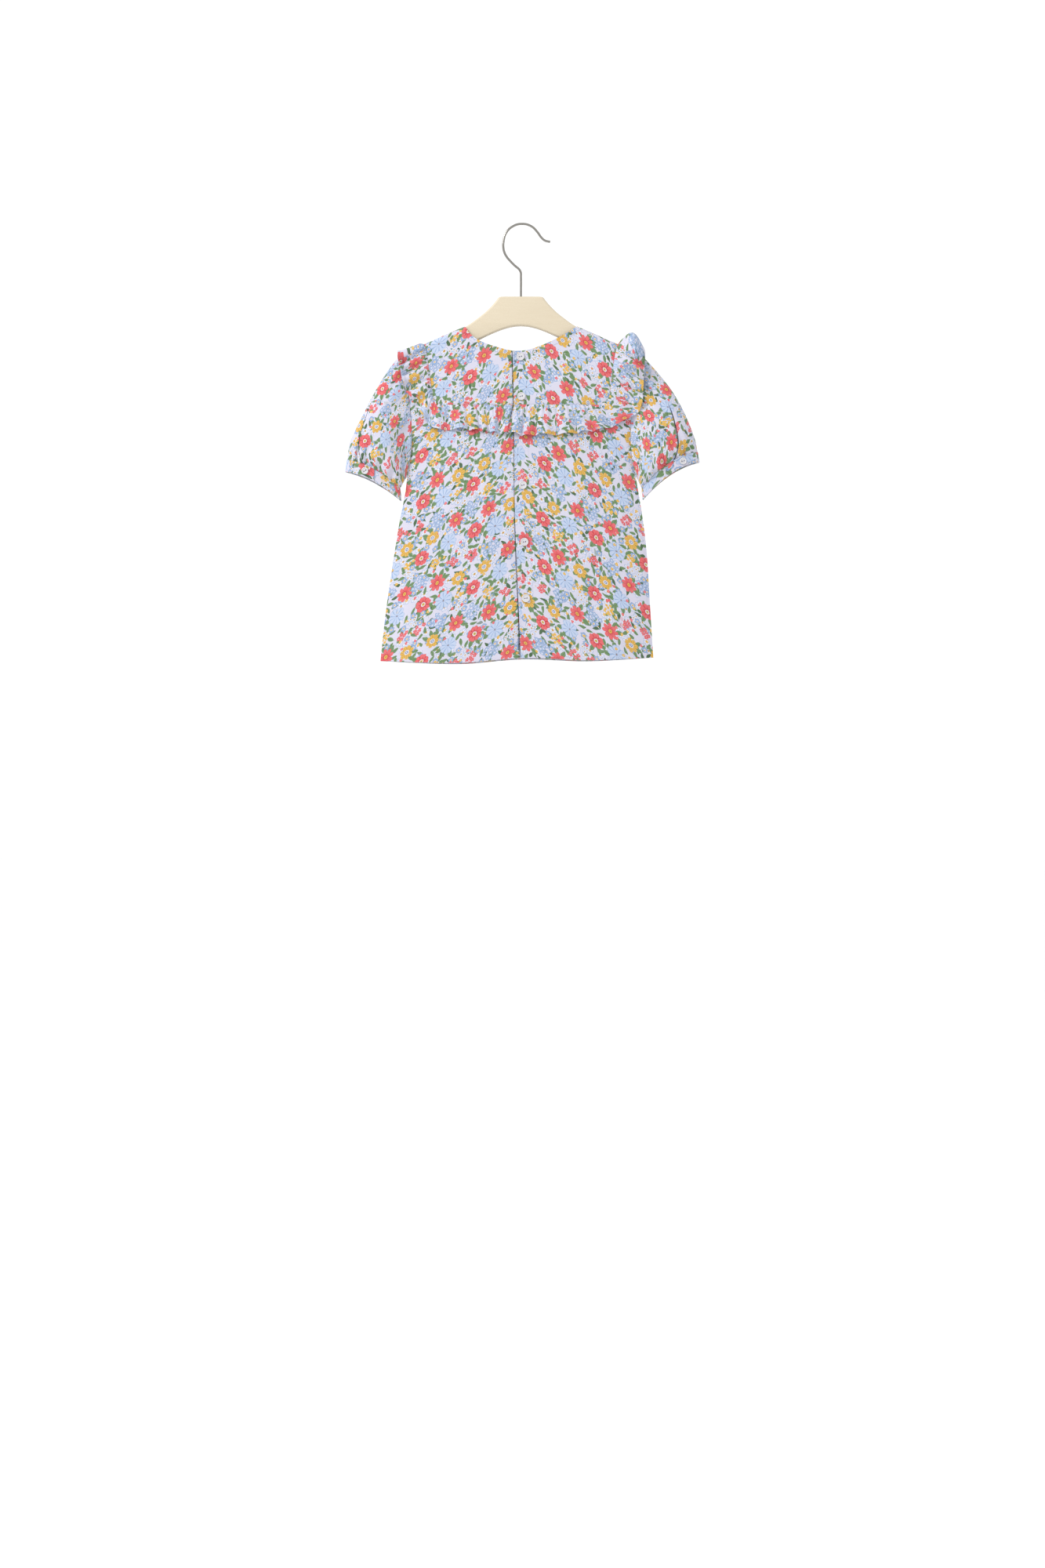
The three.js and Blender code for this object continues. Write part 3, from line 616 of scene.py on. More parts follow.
# Steps along the yoke's seam: its level part, its corner, its rise and its fold over the shoulder
seam_steps = {"level": 46, "corner": 20, "rise": 20, "fold": 12}
fold_step = quarter_fold / seam_steps["fold"]
lower_rows = 150
panel_columns = 80
yoke_rows = 50
seam_dip = (2.2, 0.6)  # width and depth
armhole_dip_width = 2.6
near_middle = 16  # the yoke's columns this near the middle run straight up to the neckline
shoulder_share = 0.2  # of the yoke's columns end on the shoulder, the others on the neckline
# Under the overlap's edge the cloth drops away: how far from the panel's inner edge, and its columns
drop_reach = (17.5, 24.5)
drop_columns = (6, 22)
# The overlap gapes towards the hem, and lies shut below the ruffle
gape_z = (-500, -550)
shut_z = ((-262, -285), (-405, -365))


def level_places(wing, start_x):
    """Each x along the level part of the seam, close together near the buttoned overlap's edge."""
    far = wing * (yoke_side_x - yoke_corner_radius)
    if start_x == 0:
        stops = [(far, seam_steps["level"])]
    elif wing < 0:
        stops = [(-6.5, 5), (-12.5, 14), (far, 27)]
    else:
        stops = [(-3, 8), (far, 38)]
    places = []
    x = start_x
    for stop, count in stops:
        places += [mix(x, stop, i / count) for i in range(count)]
        x = stop
    return places


def seam_places(wing, start_x, grow):
    """Places along the yoke's seam, from the middle round the corner and up to the shoulder's top."""
    corner_x = yoke_side_x - yoke_corner_radius
    corner_z = yoke_seam_z + yoke_corner_radius
    radius = yoke_corner_radius + grow
    if grow:
        count = seam_steps["level"]
        level = [mix(start_x, wing * corner_x, i / count) for i in range(count)]
    else:
        level = level_places(wing, start_x)
    places = [(x, down_at(x, yoke_seam_z - grow)) for x in level]
    for i in range(seam_steps["corner"]):
        angle = i / seam_steps["corner"] * math.pi / 2
        x = wing * (corner_x + radius * math.sin(angle))
        places.append((x, down_at(x, corner_z - radius * math.cos(angle))))
    rise_down = down_at(yoke_side_x, corner_z)
    downs = [mix(rise_down, quarter_fold, i / seam_steps["rise"]) for i in range(seam_steps["rise"])]
    downs += [i * fold_step for i in range(seam_steps["fold"], -1, -1)]
    for down in downs:
        rise = mix(yoke_shoulder_x, yoke_side_x, (down / rise_down) ** 0.7)
        places.append((wing * (rise + grow), max(ridge_down, down)))
    return places


def front_neck_z(x):
    return neck_point_z - front_neck_depth * (1 - (abs(x) / neck_half_width) ** 2.6)


def underlap_x(z):
    return overlap_x(z) + underlap_width


def centre_x(z):
    return 0.0


def yoke_top_places(wing, start_x, neck_z, seam):
    """Places along the neckline and the shoulder, one above each place of the seam."""
    near = [x + start_x - seam[0][0] for x, _ in seam[: seam_steps["level"]] if abs(x) < near_middle]
    rest = len(seam) - len(near)
    shoulder_steps = round(rest * shoulder_share)
    places = [(x, max(ridge_down, down_at(x, neck_z(x)))) for x in near]
    for t in steps(rest - shoulder_steps)[1:]:
        x = mix(wing * neck_half_width, near[-1], (1 - t) ** 1.6)
        places.append((x, max(ridge_down, down_at(x, neck_z(x)))))
    for t in steps(shoulder_steps)[1:]:
        places.append((wing * mix(neck_half_width, yoke_top_end_x, t), ridge_down))
    return places


def lay_point(place, face, under):
    """A point of the body. Cloth under the buttoned overlap drops away sharply at the overlap's edge."""
    point = body_point(place, face)
    if under is None:
        return point
    aside = point.x - overlap_x(point.z)
    gaping = ease(*gape_z, point.z)
    shut = ease(*shut_z[0], point.z) * ease(*shut_z[1], point.z)
    if under:
        start = -2.0 - 1.8 * gaping
        point.y -= face * (2.2 + 1.2 * gaping - 1.2 * shut) * ease(start, 0.4, aside)
        point.y -= face * 0.6 * ease(-9, start, aside)
    else:
        lift = 0.75 + 0.6 * gaping - 0.35 * shut + 0.35 * ripple(0, point.z, 18, 4.4)
        point.y += face * lift * math.exp(-aside / 4)
    return point


def sunk(point, face, distance, width, depth):
    """Cloth dips a little into a seam that it ends in."""
    point.y -= face * depth * math.exp(-((distance / width) ** 2))
    return point


def yoke_sheet(wing, start_x, face, neck_z, under):
    seam = seam_places(wing, start_x(yoke_seam_z), 0)
    count = len(seam) - 1
    top = yoke_top_places(wing, start_x(neck_z(0)), neck_z, seam)

    def point_at(column, row):
        a, b = top[column], seam[column]
        length = math.hypot(b[0] - a[0], b[1] - a[1])
        close = min(seam_steps["fold"], row) * fold_step / length
        far = max(0, row - seam_steps["fold"]) / (yoke_rows - seam_steps["fold"])
        share = mix(close, 1, far)
        place = between(a, b, share)
        point = lay_point(place, face, under)
        if place[1] > quarter_fold:
            point = sunk(point, face, length * (1 - share), *seam_dip)
        return point, (place[0], -place[1])

    return Sheet(count, yoke_rows, point_at)


armhole_length = down_at(shoulder_point_x, underarm_z)


def armhole_place(wing, down, grow):
    z = z_at((shoulder_point_x, down))
    x = side_x(z, wing)
    step = (ridge_z(x) - ridge_z(shoulder_point_x)) * clamp01(down / quarter_fold)
    return (wing * (x + grow), down + step)


def panel_sheet(wing, start_x, face, under):
    seam = seam_places(wing, start_x(yoke_seam_z), 0)[::-1]
    upper_rows = len(seam) - 1
    armhole = []
    for i in range(upper_rows + 1):
        far = max(0, i - seam_steps["fold"]) / (upper_rows - seam_steps["fold"])
        close = max(ridge_down, min(seam_steps["fold"], i) * fold_step)
        armhole.append(armhole_place(wing, mix(close, armhole_length, far), 0))
    middle_hem = hem_z(start_x(lowest_z))
    side_hem = hem_z(wing * 180)
    inner = list(seam)
    outer = armhole
    for t in steps(lower_rows)[1:]:
        z = mix(yoke_seam_z, middle_hem, t)
        inner.append((start_x(z), down_at(start_x(z), z)))
        z = mix(underarm_z, side_hem, t**1.1)
        x = wing * side_x(z, wing)
        outer.append((x, down_at(x, z)))

    def share_of(column, row):
        """Columns stand close together where the cloth drops away under the overlap's edge."""
        even = column / panel_columns
        if not under or row < upper_rows:
            return even
        width = abs(outer[row][0] - inner[row][0])
        near, close = (reach / width for reach in drop_reach)
        first, last = drop_columns
        if column <= first:
            return near * column / first
        if column <= last:
            return mix(near, close, (column - first) / (last - first))
        return mix(close, 1, (column - last) / (panel_columns - last))

    def point_at(column, row):
        settled = ease(upper_rows - 12, upper_rows, row)
        share = mix(column / panel_columns, share_of(column, max(row, upper_rows)), settled)
        x, down = between(inner[row], outer[row], share)
        low = ease(upper_rows, len(inner) - 1, row)
        down -= (hem_z(x) - mix(middle_hem, side_hem, share)) * low
        point = lay_point((x, down), face, under)
        if down > quarter_fold:
            width = math.dist(inner[row], outer[row])
            arm = 0.5 + 0.7 * ease(-240, -300, point.z)
            dip = arm if row < upper_rows else 0.15
            point = sunk(point, face, width * (1 - share), armhole_dip_width, dip)
            if row <= upper_rows:
                point = sunk(point, face, width * share, *seam_dip)
        return point, (x, -down)

    return Sheet(panel_columns, len(inner) - 1, point_at)


def edge_thickness(sheet, rows=(), columns=()):
    """Double or treble cloth in hems: rows and columns are (from, to, share) bands."""

    def thick(index):
        row, column = divmod(index, sheet.width)
        share = 1.0
        for start, end, wanted in rows:
            if start <= row <= end:
                share = max(share, wanted)
        for start, end, wanted in columns:
            if start <= column <= end:
                share = max(share, wanted)
        return share

    return thick


def plain(index):
    return 1.0


# Operators


class BLOUSE_OT_materials(bpy.types.Operator):
    """Make the printed cotton, thread, pearl, paint and chrome"""

    bl_idname = "blouse.materials"
    bl_label = "Materials"

    def execute(self, context):
        make_materials()
        return {"FINISHED"}


class BLOUSE_OT_yokes(bpy.types.Operator):
    """Sew the back yoke's two halves and the front yoke"""

    bl_idname = "blouse.yokes"
    bl_label = "Yokes"

    def execute(self, context):
        left = yoke_sheet(-1, underlap_x, -1, back_neck_z, True)
        right = yoke_sheet(1, overlap_x, -1, back_neck_z, False)
        front = [yoke_sheet(wing, centre_x, 1, front_neck_z, None) for wing in (-1, 1)]
        lift = cloth_thickness() * stitch_lift
        for name, _, sheet in in_pairs("back_yoke", (left, right)):
            thick = edge_thickness(sheet, rows=[(0, neck_rows, neck_turn)])
            lines = [sheet.line(lift, row=neck_rows + 1)]
            make_cloth(name, sheet, thick, lines, "back_yoke")
        lines = [sheet.line(lift * plain_lift, row=neck_rows + 1) for sheet in front]
        make_cloth("front_yoke", welded(*front), plain, lines, "front_yoke")
        return {"FINISHED"}


class BLOUSE_OT_panels(bpy.types.Operator):
    """Sew the back panel's two halves and the front panel"""

    bl_idname = "blouse.panels"
    bl_label = "Panels"

    def execute(self, context):
        left = panel_sheet(-1, underlap_x, -1, True)
        right = panel_sheet(1, overlap_x, -1, False)
        front = [panel_sheet(wing, centre_x, 1, None) for wing in (-1, 1)]
        hem_rows = round(context.scene.blouse_sizes.hem / MM / seam_to_hem * lower_rows)
        hem_start = left.rows - hem_rows
        lift = cloth_thickness() * 0.95
        for name, _, sheet in in_pairs("back_panel", (left, right)):
            bands = [(hem_start, sheet.rows, hem_turn)]
            thick = edge_thickness(sheet, rows=bands, columns=[(0, overlap_columns, overlap_turn)])
            lines = [sheet.line(lift, row=hem_start)]
            if sheet is right:
                lines.append(sheet.line(lift * 0.7, column=overlap_columns + 1))
            make_cloth(name, sheet, thick, lines, "back_panel")
        lines = [sheet.line(lift * plain_lift, row=hem_start) for sheet in front]
        make_cloth("front_panel", welded(*front), plain, lines, "front_panel")
        return {"FINISHED"}


# Sleeves and cuffs

crease_half_gap = 0.8
cuff_round = 168
cuff_columns = 190
cuff_rows = 10
cuff_end_columns = 4  # from the band's end to its row of stitches
# The sleeve's opening: how far round the arm it meets the cuff, its lean, and its depth
slits = {-1: (0.19, 0.22, 2.6), 1: (0.228, 0.158, 6.5)}
slit_width = 0.0036  # as a share of the way round the arm
# Columns of the sleeve's sheet: those close together at the opening, the part they span, and the others
slit_columns = 28
slit_half = 0.014
even_columns = 256
sleeve_rows = 56


def across(turn):
    """How far across the flat arm a turn lies, from the outer fold at 0 to the underarm at 1."""
    t = turn * 2 if turn < 0.5 else 2 - turn * 2
    return t - 0.75 * math.sin(2 * math.pi * t) / (2 * math.pi)


def flat_round(q):
    """How deep the arm is at a share of its width: 0 at both folds and 1 half-way."""
    return 2 * math.sqrt(max(0.0, q * (1 - q)))


def sleeve_point(wing, share, turn):
    """A point of the sleeve: share runs from the armhole to the cuff, turn from 0 to 1 round the arm."""
    face = -1 if turn < 0.5 else 1
    q = across(turn)
    fold_x, fold_z, depth = (reading(share) for reading in fold_readings[wing])
    bow = cuffs[wing]["bow"] * share * 4 * q * (1 - q)
    ring = Vector((
        wing * mix(fold_x, mix(side_x(underarm_z, wing) + 1, sleeve_inner_x, share), q),
        face * (depth * flat_round(q) + crease_half_gap),
        mix(fold_z, mix(underarm_z, sleeve_inner_z, share), q) + bow,
    ))
    apart = 0.15 + 0.2 * ease(0.6, 1, q)
    edge = body_point(armhole_place(wing, q * armhole_length, apart), face)
    point = edge.lerp(ring, ease(0, 0.42, share))
    flank = ease(0.02, 0.16, q) * (1 - ease(0.84, 0.98, q))
    phase = sleeve_gathers * turn + 0.22 * math.sin(2 * math.pi * (3 * turn + 0.3 * wing))
    uneven = 1 + 0.8 * noise.noise(Vector((turn * 9, share * 1.4, wing * 2.2)))
    head = 0.9 * ease(0, 0.12, share) * (1 - ease(0.2, 0.6, share))
    cuff = 1.9 * ease(0.45, 0.92, share)
    small = 0.45 * ease(0.8, 1, share) + 0.3 * (1 - ease(0, 0.1, share))
    relief = (head + cuff) * uneven * puffed(phase)
    relief += small * math.cos(2 * math.pi * (phase * 2.6 + 0.15))
    relief += 1.1 * noise.noise(Vector((point.x / 24, point.z / 30, face * 1.7 + wing)))
    low = ease(0.45, 0.75, q)
    relief += 1.3 * low * math.exp(-(((share - 0.09) / 0.06) ** 2))
    point.y += face * relief * flank
    if face < 0:
        slit = (turn - slit_turn(wing, share)) / slit_width
        point.y += slits[wing][2] * math.exp(-slit * slit) * ease(0.4, 0.52, share)
    point.y -= face * (0.5 + 0.9 * low) * math.exp(-((share / 0.022) ** 2)) * flank
    return point


def slit_turn(wing, share):
    """How far round the arm the sleeve's opening runs, which leans outward above the cuff."""
    end, lean, _ = slits[wing]
    return end - lean * (1 - share)


def puffed(phase):
    """Gathered cloth, from -1 to 1: rounded puffs with sharp valleys between them."""
    return 0.5 * math.cos(2 * math.pi * phase) + abs(math.cos(math.pi * phase)) ** 0.8 - 0.5


def sleeve_sheet(wing):
    columns = slit_columns + even_columns
    slit_end, lean, _ = slits[wing]
    head, foot = (Vector([reading(share) for reading in fold_readings[wing][:2]]) for share in (0, 1))
    along = (foot - head).normalized()

    def turn_of(column):
        """Even steps round the arm, but close together at the opening."""
        start = slit_end - slit_half
        before = round(even_columns * start / (1 - 2 * slit_half))
        if column < before:
            return start * (column + 0.5) / (before + 0.5)
        if column <= before + slit_columns:
            return start + 2 * slit_half * (column - before) / slit_columns
        past = column - before - slit_columns
        return mix(start + 2 * slit_half, 1, past / (even_columns - before + 0.5))

    def point_at(column, row):
        turn = turn_of(column)
        share = row / sleeve_rows
        share = mix(share, ease(0, 1, share), 0.35)
        turn -= lean * (1 - share) * math.sin(math.pi * min(1, turn / slit_end / 2))
        point = sleeve_point(wing, share, turn)
        return point, (turn, -(Vector((abs(point.x), point.z)) - head).dot(along))

    sheet = Sheet(columns, sleeve_rows, point_at, around=True)
    for row in range(sleeve_rows + 1):
        measure_round(sheet, [sheet.at(column, row) for column in range(columns)], wing)
    return sheet


def measure_round(sheet, ring, wing):
    """Places the print by its distance round the arm from the outer fold, each way to the underarm."""
    points, prints = sheet.points, sheet.prints
    back = [i for i in ring if prints[i][0] < 0.5]
    front = [i for i in reversed(ring) if prints[i][0] >= 0.5]
    first_gap = (points[ring[0]] - points[ring[-1]]).length / 2
    for side, face in ((back, -1), (front, 1)):
        length = first_gap
        for before, i in zip([side[0]] + side, side):
            length += (points[i] - points[before]).length
            prints[i] = (wing * face * length, prints[i][1])


def cuff_point(wing, turn, drop):
    round_turn = turn % 1
    face = -1 if round_turn < 0.5 else 1
    q = across(round_turn)
    low = cuffs[wing]
    fold_x, fold_z, depth = (reading(1) for reading in fold_readings[wing])
    upper_x, lower_x = mix(fold_x, sleeve_inner_x, q), mix(low["outer"][0], low["inner"][0], q)
    upper_z, lower_z = mix(fold_z, sleeve_inner_z, q), mix(low["outer"][1], low["inner"][1], q)
    return Vector((
        wing * mix(upper_x, lower_x, drop),
        face * ((depth - 0.8 * drop) * flat_round(q) + crease_half_gap),
        mix(upper_z, lower_z, drop) + low["bow"] * 4 * q * (1 - q),
    ))


def cuff_sheet(wing):
    """The cuff's band, once round the arm from its start to its end, which lies over the start."""
    start, _, end = cuffs[wing]["lap"]

    def point_at(column, row):
        turn = mix(start, 1 + end, column / cuff_columns)
        apart = mix(0.2, 0.5, across(turn % 1) ** 3)
        drop = mix(apart / cuff_height, 1, row / cuff_rows)
        point = cuff_point(wing, turn, drop)
        point.y -= ease(start - 0.035, start - 0.008, turn - 1) * 1.3
        face = -1 if turn % 1 < 0.5 else 1
        point.y += face * 0.35 * ripple(turn * 160, drop * 15, 5, wing * 6.1)
        return point, (turn * cuff_round, -drop * cuff_height)

    return Sheet(cuff_columns, cuff_rows, point_at)


class BLOUSE_OT_sleeves(bpy.types.Operator):
    """Gather both sleeves from armhole to cuff"""

    bl_idname = "blouse.sleeves"
    bl_label = "Sleeves"

    def execute(self, context):
        for wing, side in ((-1, "left"), (1, "right")):
            make_cloth(f"sleeve_{side}", sleeve_sheet(wing), plain, [], "sleeve")
        return {"FINISHED"}


class BLOUSE_OT_cuffs(bpy.types.Operator):
    """Sew both cuffs, lapped on the back of the arm"""

    bl_idname = "blouse.cuffs"
    bl_label = "Cuffs"

    def execute(self, context):
        lift = cloth_thickness() * 1.25
        for wing, side in ((-1, "left"), (1, "right")):
            sheet = cuff_sheet(wing)
            lines = [sheet.line(lift, row=row) for row in (1, cuff_rows - 1)]
            lines.append(sheet.line(lift, column=cuff_columns - cuff_end_columns))
            make_cloth(f"cuff_{side}", sheet, lambda index: cuff_turn, lines, "cuff")
        return {"FINISHED"}


# Ruffles

ruffle_length = 285
ruffle_depth = 38
wave_columns = 26
ruffle_rows = 20
ruffle_root_gap = 0.2


def path_through(places):
    """Reads a path of places by its share of the whole length."""
    lengths = [0.0]
    for a, b in zip(places, places[1:]):
        lengths.append(lengths[-1] + math.dist(a, b))

    def at(share):
        target = share * lengths[-1]
        i = 0
        while i < len(places) - 2 and lengths[i + 1] < target:
            i += 1
        t = (target - lengths[i]) / (lengths[i + 1] - lengths[i])
        return (mix(places[i][0], places[i + 1][0], t), mix(places[i][1], places[i + 1][1], t))

    return at


def ruffle_sheet(wing, start_x, face, edge, extra_out):
    """Half of a ruffle: its root in the yoke's seam, its free edge, and the waves between them."""
    columns = ruffle_waves * wave_columns
    root = path_through(seam_places(wing, start_x, ruffle_root_gap))
    x_column, z_column = ruffle_columns_of[edge]
    edge_x, edge_z = curve(ruffle_edges, 0, x_column), curve(ruffle_edges, 0, z_column)
    seed = wing * 1.3 + face * 2.1

    def point_at(column, row):
        at = column / columns
        v = row / ruffle_rows
        shoulder = ease(0.62, 0.95, at)
        phase = ruffle_waves * at + 0.25 * math.sin(2 * math.pi * at)
        phase += 0.2 * math.sin(2 * math.pi * (2.7 * at + 0.2 * seed)) * (1 - shoulder)
        wave = 2 * math.pi * phase
        inside = ease(0, 0.03, at) * ease(1, 0.97, at)
        pushed = clamp01(at - 0.0062 * v * math.sin(wave) * inside)
        down = ridge_down if column == columns else down_at(wing * edge_x(pushed), edge_z(pushed))
        down += inside * v * (1.2 * math.cos(wave + 0.6) + 1.4 * ripple(at * ruffle_length, 0, 31, seed))
        root_place = root(at - 0.003 * v * math.sin(wave) * inside)
        place = (mix(root_place[0], wing * edge_x(pushed), v), mix(root_place[1], down, v))
        lively = 1 + 0.55 * noise.noise(Vector((at * 12, 0, seed)))
        swing = (2.4 - 0.2 * wing + 1.6 * shoulder) * v**0.9 * lively
        rise = 0.1 + (1.5 + 0.9 * shoulder) * ease(0, 0.14, v) + (2.2 + 3.8 * shoulder) * v
        gathers = 0.95 * puffed(phase * 3.1 + 0.3 * seed) * math.exp(-v * 2.4) * ease(0, 0.1, v) * lively
        loose = rise - swing * math.cos(wave) + gathers + extra_out(at, v)
        least = 0.1 + 0.6 * ease(0, 0.14, v)
        out = (loose + least + math.hypot(loose - least, 0.7 * v)) / 2
        out += 0.3 * max(0.0, abs(place[0]) - side_x(z_at(place), wing))
        point = body_point(place, face, out)
        return point, (wing * at * ruffle_length + 0.8 * math.sin(2 * wave), -v * ruffle_depth)

    return Sheet(columns, ruffle_rows, point_at)


def no_extra(at, v):
    return 0.0


def shoulder_puff(at, v):
    return 19 * ease(0.8, 1, at) * math.sin(math.pi * v**1.2)


def right_extra(at, v):
    return shoulder_puff(at, v) + 2.9 * (1 - ease(0, 0.12, at)) * v**0.6


def left_extra(at, v):
    return -0.9 * (1 - ease(0, 0.1, at)) * v


class BLOUSE_OT_ruffles(bpy.types.Operator):
    """Gather the ruffles into the yoke's seam"""

    bl_idname = "blouse.ruffles"
    bl_label = "Ruffles"

    def execute(self, context):
        left = ruffle_sheet(-1, -11, -1, "left", left_extra)
        right = ruffle_sheet(1, -8.7, -1, "right", right_extra)
        front_left = ruffle_sheet(-1, 0, 1, "front", no_extra)
        front_right = ruffle_sheet(1, 0, 1, "front", shoulder_puff)
        lift = cloth_thickness() * stitch_lift
        for name, side, sheet in in_pairs("ruffle_back", (left, right)):
            thick = edge_thickness(sheet, rows=[(ruffle_rows - 1, ruffle_rows, hem_turn)])
            lines = [sheet.line(lift, row=ruffle_rows - 2)]
            make_cloth(name, sheet, thick, lines, "ruffle_back")
        lines = [sheet.line(lift * plain_lift, row=ruffle_rows - 2) for sheet in (front_left, front_right)]
        whole = welded(front_left, front_right)
        make_cloth("ruffle_front", whole, plain, lines, "ruffle_front")
        return {"FINISHED"}


# Hard pieces


def settle_piece(piece, name, nodes, material):
    """Puts the object's place into its mesh, and gives the piece its name, material and body."""
    pick(piece)
    bpy.ops.object.transform_apply(location=True, rotation=True, scale=True)
    piece.name = name
    piece.data.name = name
    piece.data.materials.clear()
    piece.data.materials.append(bpy.data.materials[material])
    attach(piece, "root")
    if nodes:
        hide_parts(*nodes)


def drill_hole(piece, vertices, radius, depth, place):
    """Cuts a round hole along Z. Sizes are in millimetres."""
    place = tuple(v * MM for v in place)
    bpy.ops.mesh.primitive_cylinder_add(
        vertices=vertices, radius=radius * MM, depth=depth * MM, location=place
    )
    drill = bpy.context.active_object
    cut = piece.modifiers.new("hole", "BOOLEAN")
    cut.object = drill
    pick(piece)
    bpy.ops.object.modifier_apply(modifier=cut.name)
    bpy.data.objects.remove(drill)


def select_faces(piece, wanted):
    """Selects the faces of the piece in edit mode whose centre and normal pass a test."""
    bpy.ops.mesh.select_mode(type="FACE")
    bpy.ops.mesh.select_all(action="DESELECT")
    enter_mode("OBJECT")
    for polygon in piece.data.polygons:
        polygon.select = wanted(polygon.center, polygon.normal)
    enter_mode("EDIT")


def round_rim(offset, segments, **settings):
    """Rounds the border of the selected faces, and leaves edit mode."""
    bpy.ops.mesh.select_mode(type="EDGE")
    bpy.ops.mesh.region_to_loop()
    bpy.ops.mesh.bevel(offset=offset * MM, segments=segments, affect="EDGES", **settings)
    enter_mode("OBJECT")

button_thickness = 2.2
hole_radius = 0.8
hole_spacing = 2.8
rim_width = 1.0
dish_slope = 0.6
dish_depth = 0.55
bar_radius = 0.42  # of the thread between the holes


def model_button(radius):
    """A two-hole shirt button about the origin, facing +Z, with a raised rim round a dished face."""
    bpy.ops.mesh.primitive_cylinder_add(vertices=48, radius=radius * MM, depth=button_thickness * MM)
    button = bpy.context.active_object
    button.data.transform(Matrix.Translation((0, 0, button_thickness / 2 * MM)))
    enter_mode("EDIT")
    select_faces(button, lambda centre, normal: normal.z > 0.9)
    bpy.ops.mesh.inset(thickness=rim_width * MM)
    bpy.ops.mesh.inset(thickness=dish_slope * MM, depth=-dish_depth * MM)
    select_faces(button, lambda centre, normal: abs(normal.z) < 0.2 and centre.length < 2 * radius * MM)
    round_rim(0.5, 4)
    for side in (-1, 1):
        drill_hole(button, 20, hole_radius, 8, (side * hole_spacing / 2, 0, 0))
    return button


def seat_of(point_at, turn):
    """Where a button sits: its place on the cloth, and its turn to face outward."""
    reach = 4
    along = point_at(reach, 0) - point_at(-reach, 0)
    up = point_at(0, reach) - point_at(0, -reach)
    outward = along.cross(up).normalized()
    if outward.y > 0:
        outward.negate()
    spin = Vector((0, 0, 1)).rotation_difference(outward).to_matrix().to_4x4()
    seat = point_at(0, 0) + outward * (cloth_thickness() + 0.1)
    return Matrix.Translation(seat * MM) @ spin @ Matrix.Rotation(turn, 4, "Z")


def place_button(pattern, name, place):
    """A copy of a modelled button on its place, sewn on by a bar of thread."""
    button = new_object(name + "_pearl", pattern.data.copy())
    button.data.transform(place)
    settle_piece(button, name + "_pearl", [name], "pearl_button")
    show_smooth(button, 35)
    bpy.ops.mesh.primitive_cylinder_add(vertices=12, radius=bar_radius * MM, depth=hole_spacing * MM * 0.92)
    bar = bpy.context.active_object
    bar.data.transform(Matrix.Rotation(math.pi / 2, 4, "Y"))
    bar.data.transform(Matrix.Translation((0, 0, (button_thickness - 0.35) * MM)))
    enter_mode("EDIT")
    select_faces(bar, lambda centre, normal: abs(normal.x) > 0.9)
    bpy.ops.mesh.extrude_region_move(TRANSFORM_OT_translate={"value": (0, 0, -0.9 * MM)})
    turn_outward()
    enter_mode("OBJECT")
    bar.data.transform(place)
    settle_piece(bar, name + "_thread", [], "sewing_thread")
    show_smooth(bar, 50)


class BLOUSE_OT_buttons(bpy.types.Operator):
    """Model the back and cuff buttons and sew them on"""

    bl_idname = "blouse.buttons"
    bl_label = "Buttons"

    def execute(self, context):
        sizes = context.scene.blouse_sizes
        pattern = model_button(sizes.button / MM / 2)
        for name, (x, z) in back_buttons.items():

            def point_at(dx, dz, x=x, z=z):
                return lay_point((x + dx, down_at(x + dx, z + dz)), -1, False)

            place_button(pattern, name, seat_of(point_at, 0.2))
        bpy.data.objects.remove(pattern)
        pattern = model_button(sizes.cuff_button / MM / 2)
        for wing, side in ((-1, "left"), (1, "right")):

            def point_at(dx, dz, wing=wing):
                point = cuff_point(wing, cuffs[wing]["lap"][1] + dx / 260, 0.5 - dz / 30)
                point.y -= 1.6
                return point

            place_button(pattern, f"cuff_button_{side}", seat_of(point_at, 0.4))
        bpy.data.objects.remove(pattern)
        return {"FINISHED"}


def hanger_outline():
    """The hanger's whole outline, in millimetres, from its middle top round clockwise."""
    drop = 0.9
    end_z = ridge_z(hanger_arm_end_x) - drop
    top = curve(hanger_top + [(72, ridge_z(72) - drop)], 0, 1)
    arch = curve(hanger_arch, 0, 1)
    half = [(0, -92), (22, -92), (25, -92.2)]
    half += [(x, top(x)) for x in (27, 28.5, 30, 31.5, 34, 37, 41, 46, 51, 56, 61, 66)]
    half += [(x, ridge_z(x) - drop) for x in (72, 92, 112, 128)]
    half += [(133, ridge_z(133) - drop - 0.3)]
    arm_end = ((-2, -1.5), (-0.3, -4), (0, -7), (-1, -10.5), (-3, -13.5), (-5.5, -15.8), (-9, -17))
    half += [(hanger_arm_end_x + x, end_z + z) for x, z in arm_end]
    half += [(x, arch(x)) for x in (118, 107, 96, 85, 74, 65, 56, 50, 44, 38, 32, 26, 20, 14, 9, 4, 0)]
    return half + [(-x, z) for x, z in half[-2:0:-1]]


